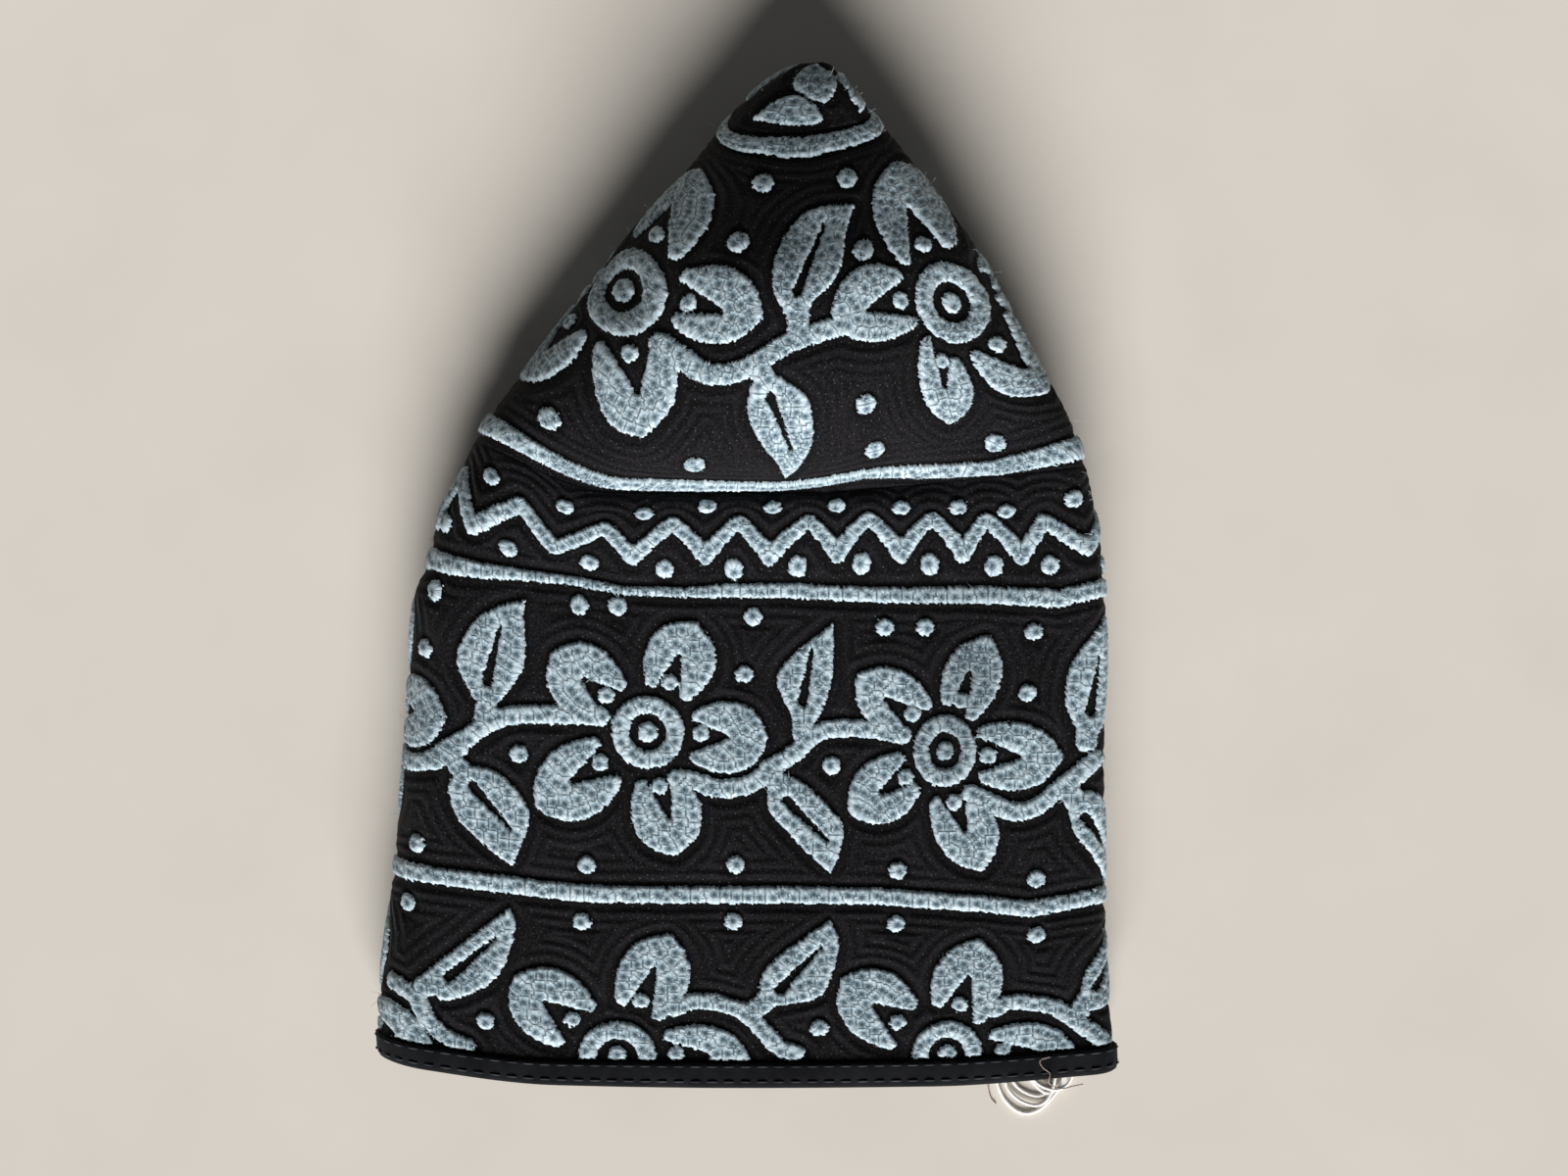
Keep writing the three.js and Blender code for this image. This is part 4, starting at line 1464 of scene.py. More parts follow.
@dataclass(frozen=True)
class QuiltedCotton(Finish):
    """Black cotton twill, quilted by lines that echo the motifs.

    The eye reads a matt brown-black cloth with soft ridges 2 mm apart, which painted highlight and shade
    pick out, a groove round each motif darkened with painted shade, and a little pale lint.
    """

    name: str = "quilted_black_cotton"
    ridge_spacing_mm: float = 2.05
    ridge_bump_mm: float = 0.14
    # painted highlight on the ridges and painted shade between them
    ridge_painted_light: float = 0.15  # how much lighter the ridges are where they show most
    wander_mm: float = 9.0  # how long the waves are in which the quilting lines wander
    # how far from a motif painted shade darkens the groove, and within what distance it is full
    groove_shade_mm: float = 1.1
    full_groove_shade_mm: float = 0.1
    twill_mm: float = 0.5  # a real twill is finer, and this is the finest that shows
    twill_bump_mm: float = 0.12
    wear_mm: float = 14.0
    patch_mm: float = 16.0
    lint_mm: float = 1.5
    lint_size: float = 0.055
    # worn holds the real wear and the ridges' painted highlight
    base: str = "09090b"
    worn: str = "1b191c"
    # the painted shade in the groove round each motif
    groove: str = "020203"
    lint: str = "6b6a6e"

    def dress(self, tree: NodeTree, shader: bpy.types.Node) -> None:
        """Builds ridges and grooves from the distance to the motifs, and lint from cells."""
        chart = add_node(tree, "UVMap", uv_map="chart")
        away = add_node(tree, "Attribute", attribute_name="from_motif").outputs["Fac"]
        quilt = add_node(tree, "Attribute", attribute_name="quilting").outputs["Fac"]
        wobble, weave, uneven, patchy = (
            add_node(tree, "TexNoise",
                     {"Vector": chart, "Scale": CHART_UNIT / size, "Detail": detail, "Roughness": rough},
                     noise_dimensions="2D")
            for size, detail, rough in (
                (self.wander_mm, 3.0, 0.5), (self.twill_mm, 2.0, 0.5), (self.wear_mm, 5.0, 0.7),
                (self.patch_mm, 2.0, 0.5),
            )
        )
        bent = add_node(tree, "Math", {0: wobble, 1: 1.0, 2: quilt}, operation="MULTIPLY_ADD")
        phase = add_node(tree, "Math", {0: bent, 1: 2 * math.pi / self.ridge_spacing_mm},
                         operation="MULTIPLY")
        wave = add_node(tree, "Math", {0: phase}, operation="SINE")
        # Painted highlight on the ridges and painted shade between them, where the patches let them show.
        # With the weave and the real wear, this moves the cloth's colour between base and worn.
        showing = add_node(tree, "MapRange", {
            "Value": patchy, "From Min": 0.42, "From Max": 0.62, "To Min": 0.0, "To Max": self.ridge_painted_light,
        })
        ridged = add_node(tree, "Math", {0: wave, 1: showing}, operation="MULTIPLY")
        grain = add_node(tree, "Math", {0: weave, 1: 1.3, 2: ridged}, operation="MULTIPLY_ADD")
        lit = add_node(tree, "Math", {0: uneven, 1: 0.5, 2: grain}, operation="MULTIPLY_ADD")
        cloth = add_node(tree, "ValToRGB", {"Fac": lit}, [(0.8, self.base), (1.0, self.worn)])
        # Painted shade: close to each motif the cloth darkens toward the groove colour.
        close = add_node(tree, "MapRange",
                         {"Value": away, "From Min": self.full_groove_shade_mm, "From Max": self.groove_shade_mm},
                         interpolation_type="SMOOTHSTEP")
        dark = add_node(tree, "Mix", {"Factor": close, 6: linear(self.groove), 7: cloth},
                        data_type="RGBA")
        specks = add_node(tree, "TexVoronoi",
                          {"Vector": chart, "Scale": CHART_UNIT / self.lint_mm, "Randomness": 1.0},
                          voronoi_dimensions="2D", feature="F1")
        speck = add_node(tree, "Math", {0: specks.outputs["Distance"], 1: self.lint_size},
                         operation="LESS_THAN")
        tone = add_node(tree, "SeparateColor", {0: specks.outputs["Color"]})
        faint = add_node(tree, "Math", {0: speck, 1: tone}, operation="MULTIPLY")
        linted = add_node(tree, "Mix",
                          {"Factor": faint, 6: dark.outputs[2], 7: linear(self.lint)}, data_type="RGBA")
        fine = add_node(tree, "Bump",
                        {"Strength": 0.5, "Distance": self.twill_bump_mm * MM, "Height": weave})
        ridges = add_node(tree, "Bump", {
            "Strength": 0.55, "Distance": self.ridge_bump_mm * MM, "Height": wave, "Normal": fine,
        })
        set_inputs(tree, shader, {"Base Color": linted.outputs[2], "Normal": ridges, **MATT_COTTON})


@dataclass(frozen=True)
class PlainCotton(Finish):
    """Plain woven black cotton, as the binding is cut from: matt, with a fine even weave."""

    name: str = "black_cotton_binding"
    weave_mm: float = 0.45
    weave_bump_mm: float = 0.12
    wear_mm: float = 6
    base: str = "0c0d0f"
    worn: str = "1d1e21"

    def dress(self, tree: NodeTree, shader: bpy.types.Node) -> None:
        """Builds a fine weave and soft wear."""
        place = add_node(tree, "TexCoord").outputs["Object"]
        uneven = add_node(tree, "TexNoise", {
            "Vector": place, "Scale": 1 / (self.wear_mm * MM), "Detail": 5.0, "Roughness": 0.65,
        })
        colour = add_node(tree, "ValToRGB", {"Fac": uneven},
                          [(0.35, self.base), (0.75, self.worn)])
        weave = add_node(tree, "TexNoise",
                         {"Vector": place, "Scale": 1 / (self.weave_mm * MM), "Detail": 2.0})
        fine = add_node(tree, "Bump",
                        {"Strength": 0.5, "Distance": self.weave_bump_mm * MM, "Height": weave})
        set_inputs(tree, shader, {"Base Color": colour, "Normal": fine, **MATT_COTTON})


@dataclass(frozen=True)
class PaintedBoard(Finish):
    """A matt painted floor board, warm and very pale."""

    name: str = "pale_painted_board"
    dull: str = "dad3c9"
    colour: str = "dfd8ce"

    def dress(self, tree: NodeTree, shader: bpy.types.Node) -> None:
        """Sets one colour with a faint unevenness."""
        place = add_node(tree, "TexCoord").outputs["Object"]
        uneven = add_node(tree, "TexNoise", {"Vector": place, "Scale": 30.0, "Detail": 4.0})
        colour = add_node(tree, "ValToRGB", {"Fac": uneven},
                          [(0.3, self.dull), (0.7, self.colour)])
        set_inputs(tree, shader, {"Base Color": colour, "Roughness": 0.9})


# Pieces

def placed(name: str, data: bpy.types.ID) -> Piece:
    """Puts new data into the scene as an object at the origin."""
    made = bpy.data.objects.new(name, data)
    bpy.context.scene.collection.objects.link(made)
    return made


def make_object(
    name: str,
    places: Array,
    triangles: Array,
    material: Material,
    maps: dict[str, Array] | None = None,
    lap: float | None = None,
) -> Piece:
    """Makes a mesh object at the origin.

    Args:
        name: the piece's name.
        places: vertices in metres, shape (n, 3).
        triangles: rows of three vertex numbers.
        material: its finish.
        maps: charted points for the vertices of each UV map. The first map is the chart itself.
        lap: the chart's period, where it has one.

    Returns:
        The object, linked to the scene.
    """
    mesh = bpy.data.meshes.new(name)
    mesh.vertices.add(len(places))
    mesh.vertices.foreach_set("co", np.ascontiguousarray(places, np.float32).ravel())
    mesh.loops.add(triangles.size)
    mesh.loops.foreach_set("vertex_index", np.ascontiguousarray(triangles, np.int32).ravel())
    mesh.polygons.add(len(triangles))
    mesh.polygons.foreach_set("loop_start", np.arange(0, triangles.size, 3, dtype=np.int32))
    mesh.polygons.foreach_set("use_smooth", np.ones(len(triangles), bool))
    mesh.update(calc_edges=True)
    mesh.validate()
    for label, spots in (maps or {}).items():
        corners = spots[triangles].copy()
        if lap:
            across = maps["chart"][triangles][:, :, 0]
            corners[:, :, 0] += lap * (across.max(axis=1, keepdims=True) - across > lap / 2)
        layer = mesh.uv_layers.new(name=label)
        layer.data.foreach_set("uv", (corners / CHART_UNIT).astype(np.float32).ravel())
    mesh.materials.append(material)
    return placed(name, mesh)


def make_guide(name: str, points: Array, edges: Sequence[tuple[int, int]] = ()) -> Piece:
    """Makes an object of points in metres and edges, for a node tree to work on."""
    mesh = bpy.data.meshes.new(name)
    mesh.from_pydata(points.tolist(), list(edges), [])
    return placed(name, mesh)


def face_outwards(piece: Piece) -> None:
    """Turns a closed shell's faces outwards."""
    shell = bmesh.new()
    shell.from_mesh(piece.data)
    bmesh.ops.recalc_face_normals(shell, faces=shell.faces)
    shell.to_mesh(piece.data)
    shell.free()


def add_values(piece: Piece, name: str, values: Array) -> None:
    """Stores one number, or one vector, for each vertex of a piece."""
    kind, label = ("FLOAT_VECTOR", "vector") if values.ndim > 1 else ("FLOAT", "value")
    layer = piece.data.attributes.new(name, kind, "POINT")
    layer.data.foreach_set(label, values.astype(np.float32).ravel())


def new_tree(name: str, takes: dict[str, str], gives: str) -> NodeTree:
    """Starts a geometry node tree.

    Args:
        name: the tree's name.
        takes: the kind of socket of each input, by its name.
        gives: the name of the geometry that it gives back.

    Returns:
        The tree, which has no nodes yet.
    """
    tree = bpy.data.node_groups.new(name, "GeometryNodeTree")
    for label, kind in takes.items():
        tree.interface.new_socket(label, in_out="INPUT", socket_type=f"NodeSocket{kind}")
    tree.interface.new_socket(gives, in_out="OUTPUT", socket_type="NodeSocketGeometry")
    return tree


def grown(guide: Piece, tree: NodeTree, values: dict[str, Any], name: str) -> Piece:
    """Runs a node tree on a guide object and keeps the result as a plain mesh.

    Args:
        guide: the object that carries the tree. It is deleted.
        tree: a geometry node tree.
        values: the tree's inputs, by name.
        name: the new piece's name.

    Returns:
        The new piece.
    """
    modifier = guide.modifiers.new("grown", "NODES")
    modifier.node_group = tree
    for item in tree.interface.items_tree:
        if item.in_out == "INPUT" and item.name in values:
            modifier[item.identifier] = values[item.name]
    graph = bpy.context.evaluated_depsgraph_get()
    mesh = bpy.data.meshes.new_from_object(guide.evaluated_get(graph), depsgraph=graph)
    guide.modifiers.remove(modifier)
    bpy.data.objects.remove(guide)
    mesh.name = name
    return placed(name, mesh)


@dataclass
class Cloth:
    """The black cotton: the band and the crown, each a closed shell with its relief."""

    cap: FoldedCap
    fine_mm: float = 0.64
    hidden_mm: float = 1.25
    inner_mm: float = 2.6
    last_ring: float = 0.6  # the radius of the smallest ring round the crown's centre
    groove_depth: float = 0.34
    groove_middle: float = 0.35
    groove_width: float = 0.55
    ridge_height: float = 0.085
    ridge_spacing: float = 2.05
    ridges_from: Pair = (0.5, 1.5)  # distances from a motif, where the ridges grow
    swell: float = 0.16  # how much higher the cloth lies between the motifs
    swell_from: Pair = (0.6, 3.0)
    reach: float = 6.5
    seam_fade: float = 1.0  # the relief fades out over this distance from the crown's seam
    hem_fade: Pair = (-0.5, 2.5)  # the same at the hem, from the binding's edge
    lifted_from: float = 8.0  # how far up from the hem the band starts to keep clear of the floor

    def relief(self, away: Array, quilt: Array) -> Array:
        """How far the cloth's face stands above its plain surface.

        Args:
            away: the distance of each point from the nearest motif.
            quilt: the distance that the quilting lines follow.

        Returns:
            The heights in mm.
        """
        groove = -self.groove_depth * np.exp(-(((away - self.groove_middle) / self.groove_width) ** 2))
        ridges = self.ridge_height * np.cos(2 * np.pi * quilt / self.ridge_spacing)
        swell = self.swell * ease(away, *self.swell_from)
        return np.where(away > 0, groove + (ridges + swell) * ease(away, *self.ridges_from), groove)

    def distances(self, pattern: Pattern, points: Array) -> list[Array]:
        """The distance of charted points from the motifs, and the distance that the quilting follows."""
        return [pattern.distance(points, self.reach, with_dots) for with_dots in (True, False)]

    def shell(self, name: str, front: tuple[Array, Array], back: tuple[Array, Array], faces: Array,
              distances: Sequence[Array], material: Material, lap: float | None = None) -> Piece:
        """Makes one closed shell of cloth.

        Args:
            name: the piece's name.
            front: the charted points of the embroidered face, and where they lie.
            back: the same for the inner side.
            faces: rows of three vertex numbers, with those of the face first.
            distances: what distances() gave for the face, which the finish reads.
            material: the cloth's finish.
            lap: the chart's period, where it has one.

        Returns:
            The piece.
        """
        charted, places = (np.concatenate(pair) for pair in zip(front, back))
        piece = make_object(name, places, faces, material, {"chart": charted}, lap)
        face_outwards(piece)
        for label, values in zip(("from_motif", "quilting"), distances):
            add_values(piece, label, np.concatenate([values, np.full(len(back[0]), FAR)]))
        return piece

    def band(self, material: Material) -> Piece:
        """Makes the side band's shell."""
        chart = BandChart(self.cap)
        high = CROWN_SEAM - SEAM_HALF_GAP
        face = BandGrid(self.fine_mm, self.hidden_mm, 0.0, high)
        points, outer, low_edge, high_edge = face.mesh()
        grid = BandGrid(self.inner_mm, self.inner_mm, 0.0, high)
        back, inner, back_low, back_high = grid.mesh(len(points))
        distances, up = self.distances(BandPattern(), points), points[:, 1]
        relief = self.relief(*distances) * ease(up, *(BINDING_HEIGHT + h for h in self.hem_fade))
        relief *= 1 - ease(up, high - self.seam_fade, high)
        places = chart.place(points, relief)
        lifted = np.maximum(places[:, 2], CLOTH_CLEARANCE * MM)
        places[:, 2] = np.where(up > self.lifted_from, lifted, places[:, 2])
        inside = chart.place(back, np.zeros(len(back)), Side.INNER)
        front_at, back_at = (np.append(g.columns, BandGrid.lap_start + BAND_PERIOD) for g in (face, grid))
        rims = [
            zipper(np.append(a, a[0]), front_at, np.append(b, b[0]), back_at)
            for a, b in ((low_edge, back_low), (high_edge, back_high))
        ]
        faces = np.concatenate([outer, inner[:, ::-1], rims[0], rims[1][:, ::-1]])
        return self.shell("side_band_cloth", (points, places), (back, inside), faces, distances, material,
                          BAND_PERIOD)

    def crown(self, material: Material) -> Piece:
        """Makes the crown's shell. Its inner side ends at the tip ring, closed across the hollow."""
        chart = CrownChart(self.cap)
        rim = CROWN_CENTRE - CROWN_SEAM - SEAM_HALF_GAP
        points, outer, rim_line = CrownGrid(self.fine_mm, rim, self.last_ring).closed()
        grid = CrownGrid(self.inner_mm, rim, CROWN_CENTRE - TIP_RING, 0)
        back, inner, back_line, back_last = grid.mesh(len(points))
        distances = self.distances(CrownPattern(), points)
        relief = self.relief(*distances) * (1 - ease(polar(points)[1], rim - self.seam_fade, rim))
        places = chart.place(points, relief, Side.OUTER, CLOTH_CLEARANCE)
        inside = chart.place(back, np.zeros(len(back)), Side.INNER)
        ring = back_last[0][:-1]
        closing = self.across_hollow(ring, chart.around(back[ring - len(points)]))
        faces = np.concatenate([outer, inner[:, ::-1], zipper(*rim_line, *back_line), closing])
        whole = (faces[:, 0] != faces[:, 1]) & (faces[:, 1] != faces[:, 2]) & (faces[:, 0] != faces[:, 2])
        return self.shell("crown_cloth", (points, places), (back, inside), faces[whole], distances, material)

    def across_hollow(self, ring: Array, around: Array) -> Array:
        """Closes the inner side at its last ring, from the upper layers down to the lower ones.

        Args:
            ring: the ring's vertex numbers.
            around: the place of each round the folded section.

        Returns:
            Triangles as rows of three vertex numbers.
        """
        count = self.cap.stretches_in_section
        order = np.argsort(np.mod(around - PRESSED_EDGE, count))
        ring, around = ring[order], np.mod(around[order] - PRESSED_EDGE, count)
        over, under = around > EDGES_APART, around <= EDGES_APART
        back_at = (count - around[over][::-1]) / (count - EDGES_APART)
        return zipper(ring[under], around[under] / EDGES_APART,
                      np.append(ring[0], ring[over][::-1]), np.append(0.0, back_at))


@dataclass
class Embroidery:
    """The grey-blue embroidery that stands on the band and on the crown."""

    cap: FoldedCap
    fine_mm: float = 0.42
    hidden_mm: float = 0.96
    last_ring: float = 0.4
    row_margin: float = 0.4  # how far below the lowest stitch its grid begins
    seam_margin: float = 1.0  # how far the band's grid ends from the crown's seam
    rim_margin: float = 0.1  # the same for the crown's grid
    shoulder: float = 0.55  # distance over which the border rounds up to the top
    puff: float = 0.1  # how much more a wide motif rises toward its middle
    puff_from: Pair = (0.6, 2.2)
    jitter: float = 0.13  # how ragged the strands make the border
    seed: int = 7
    reach: float = 1.0
    pit_depth: float = 0.2
    pit_radius: float = 0.5
    pit_from: Pair = (0.2, 0.7)
    pits: StitchPits = StitchPits()

    strands_round_pit: int = 16
    strand_reach: Triple = (0.32, 1.0, 1.8)  # start, usual end and end at a border
    strand_lift: Pair = (0.02, 0.07)  # of its start and of its end
    strand_turn: float = 0.4  # how far a strand turns from its even place, as a share of the spacing
    strand_past: Pair = (-0.15, 0.25)  # how far past the border it ends
    strand_share: Pair = (0.7, 1.1)  # how much of its usual length it has
    strand_chance: float = 0.6  # the share of the strands away from a border that are laid
    strand_overhang: float = 0.3  # how far past a border an end may lie
    end_depth: float = 0.3  # the least depth that an end rises as if it had
    strand_width: float = 0.15
    strand_flatness: float = 0.6
    strand_floor: float = 0.1  # how high over the floor a strand's middle stays

    def rise(self, depth: Array, from_pit: Array) -> Array:
        """The embroidery's height over the cloth's face.

        Args:
            depth: how far inside a motif each point is.
            from_pit: how far each is from the nearest pit.

        Returns:
            The heights in mm.
        """
        up = np.sqrt(np.clip(depth / self.shoulder, 0, 1))
        puff = self.puff * ease(depth, *self.puff_from)
        pit = self.pit_depth * np.exp(-((from_pit / self.pit_radius) ** 2)) * ease(depth, *self.pit_from)
        return THREAD_FOOT + (THREAD_RISE - self.puff - THREAD_FOOT) * up + puff - pit

    def pieces(self, name: str, chart: Chart, pattern: Pattern,
               grid: Sequence[Array], finishes: Sequence[Material], lap: float | None) -> list[Piece]:
        """Cuts a charted mesh to the motifs, raises it from the cloth and sets strands on it.

        Args:
            name: the piece's name.
            chart: the chart of the cloth.
            pattern: the motifs on it.
            grid: charted points and triangles.
            finishes: the finishes of the stitches and of their strands.
            lap: the chart's period, where it has one.

        Returns:
            The stitches and their strands.
        """
        points, triangles = grid
        ragged = np.random.default_rng(self.seed).normal(0, self.jitter, len(points))
        if lap is not None:
            points, triangles, ragged = self.unwrapped(points, triangles, ragged, lap)
        kept, faces, depth = cut_inside(points, triangles, ragged - pattern.distance(points, self.reach))
        pits = self.pits.chosen(kept, depth)
        nearest = self.pits.nearest(pits, kept)
        from_pit = np.linalg.norm(kept - nearest, axis=1)
        places = chart.place(kept, self.rise(depth, from_pit), Side.OUTER, FLOOR_CLEARANCE)
        corners = places[faces]
        facing = np.cross(corners[:, 1] - corners[:, 0], corners[:, 2] - corners[:, 0])
        normal = self.cap.normals(chart.along(kept), chart.around(kept))[faces[:, 0]]
        if (facing * normal).sum() < 0:
            faces = faces[:, ::-1]
        made = make_object(name, places, faces, finishes[0], {"chart": kept, "pit": nearest}, lap)
        # The thread's painted shade where the cloth turns away from the light, which its finish mixes in.
        add_values(made, "shade", pattern.shade(kept))
        return [made, self.strands(name + "_strands", chart, pattern, pits, finishes[1])]

    def unwrapped(self, points: Array, triangles: Array, ragged: Array,
                  lap: float) -> tuple[Array, Array, Array]:
        """Gives the triangles that cross the chart's end vertices of their own, a lap further on.

        Args:
            points: charted points.
            triangles: rows of three vertex numbers.
            ragged: how far each point's border is moved.
            lap: the chart's period.

        Returns:
            The points, the triangles and the moves.
        """
        across = np.flatnonzero(np.ptp(points[triangles][..., 0], axis=1) > lap / 2)
        corners, used = points[triangles[across]], triangles[across].ravel()
        corners[..., 0] += lap * (corners[..., 0] < corners[..., 0].mean(axis=1, keepdims=True))
        triangles = triangles.copy()
        triangles[across] = len(points) + np.arange(len(used)).reshape(-1, 3)
        points, ragged = np.concatenate([points, corners.reshape(-1, 2)]), np.append(ragged, ragged[used])
        return points, triangles, ragged

    def band(self, finishes: Sequence[Material]) -> list[Piece]:
        """Makes the band's embroidery."""
        low, high = LOWEST_STITCH - self.row_margin, CROWN_SEAM - SEAM_HALF_GAP - self.seam_margin
        grid = BandGrid(self.fine_mm, self.hidden_mm, low, high).mesh()[:2]
        return self.pieces("band_embroidery", BandChart(self.cap), BandPattern(), grid, finishes, BAND_PERIOD)

    def crown(self, finishes: Sequence[Material]) -> list[Piece]:
        """Makes the crown's embroidery."""
        rim = CROWN_CENTRE - CROWN_SEAM - SEAM_HALF_GAP - self.rim_margin
        grid = CrownGrid(self.fine_mm, rim, self.last_ring).closed()[:2]
        return self.pieces("crown_embroidery", CrownChart(self.cap), CrownPattern(), grid, finishes, None)

    def strand_tree(self) -> NodeTree:
        """Builds the nodes that set a tapered strand on each point of a guide.

        Returns:
            A tree with inputs for the strands' width and thickness and for their material. The guide's
            points carry the vectors run, from a strand's root to its end, and up, away from the cloth.
        """
        tree = new_tree("thread_strands", {
            "Roots": "Geometry", "Strand Width": "Float", "Strand Thickness": "Float", "Thread": "Material",
        }, "Strands")
        given = add_node(tree, "NodeGroupInput").outputs
        run, up = (
            add_node(tree, "GeometryNodeInputNamedAttribute", {"Name": name}, data_type="FLOAT_VECTOR")
            .outputs["Attribute"] for name in ("run", "up")
        )
        length = add_node(tree, "VectorMath", {0: run}, operation="LENGTH").outputs["Value"]
        along = add_node(tree, "FunctionNodeAlignRotationToVector", {"Vector": run}, axis="Z")
        upright = add_node(tree, "FunctionNodeAlignRotationToVector", {"Rotation": along, "Vector": up},
                           axis="X", pivot_axis="Z")
        size = add_node(tree, "CombineXYZ",
                        {0: given["Strand Thickness"], 1: given["Strand Width"], 2: length})
        taper = add_node(tree, "GeometryNodeMeshCone",
                         {"Vertices": 3, "Radius Top": 0.0, "Radius Bottom": 0.6, "Depth": 1.0},
                         fill_type="NONE")
        laid = add_node(tree, "GeometryNodeInstanceOnPoints", {
            "Points": given["Roots"], "Instance": taper, "Rotation": upright, "Scale": size,
        })
        real = add_node(tree, "GeometryNodeRealizeInstances", {"Geometry": laid})
        dressed = add_node(tree, "GeometryNodeSetMaterial", {"Geometry": real, "Material": given["Thread"]})
        add_node(tree, "NodeGroupOutput", {"Strands": dressed})
        return tree

    def strands(self, name: str, chart: Chart, pattern: Pattern, pits: Array,
                material: Material) -> Piece:
        """Sets strands round the pits of the embroidery that shows.

        Args:
            name: the piece's name.
            chart: the chart of the cloth.
            pattern: the motifs on it.
            pits: charted places of pits.
            material: the strands' finish.

        Returns:
            The piece.
        """
        draw = np.random.default_rng(self.seed)
        root, usual, far = self.strand_reach
        near_nothing = 0.01
        pits = pits[chart.shows(pits)]
        count = self.strands_round_pit
        turn = draw.uniform(-self.strand_turn, self.strand_turn, (len(pits), count))
        angle = (np.arange(count) + turn) * 2 * np.pi / count
        angle = (angle + draw.uniform(0, 2 * np.pi, (len(pits), 1))).ravel()
        way = np.stack([np.cos(angle), np.sin(angle)], axis=1)
        middle = np.repeat(pits, count, axis=0)
        deep, beyond = (-pattern.distance(at, self.reach) for at in (middle, middle + way * far))
        past = draw.uniform(*self.strand_past, len(way))
        share = np.clip((deep + past) / np.maximum(deep - beyond, near_nothing), 0, 1)
        end = middle + way * (far * share)[:, None]
        from_own = np.linalg.norm(self.pits.nearest(pits, end) - middle, axis=1)
        at_border = (beyond < 0) & (from_own < near_nothing)
        inner = middle + way * (usual * draw.uniform(*self.strand_share, len(way)))[:, None]
        end = np.where(at_border[:, None], end, inner)
        deep_end = -pattern.distance(end, self.reach)
        laid = at_border | (draw.uniform(0, 1, len(way)) < self.strand_chance)
        laid &= deep_end > -self.strand_overhang
        start, end, deep_end = (middle + way * root)[laid], end[laid], deep_end[laid]
        ends = (
            (start, np.full(len(start), 1.0), root),
            (end, np.maximum(deep_end, self.end_depth), usual),
        )
        low, high = (
            chart.place(at, self.rise(depth, np.full(len(at), off)) + lift, Side.OUTER, self.strand_floor)
            for (at, depth, off), lift in zip(ends, self.strand_lift)
        )
        guide = make_guide(name, low)
        add_values(guide, "run", high - low)
        add_values(guide, "up", self.cap.normals(chart.along(start), chart.around(start)))
        values = {
            "Strand Width": self.strand_width * MM,
            "Strand Thickness": self.strand_flatness * self.strand_width * MM,
            "Thread": material,
        }
        return grown(guide, self.strand_tree(), values, name)


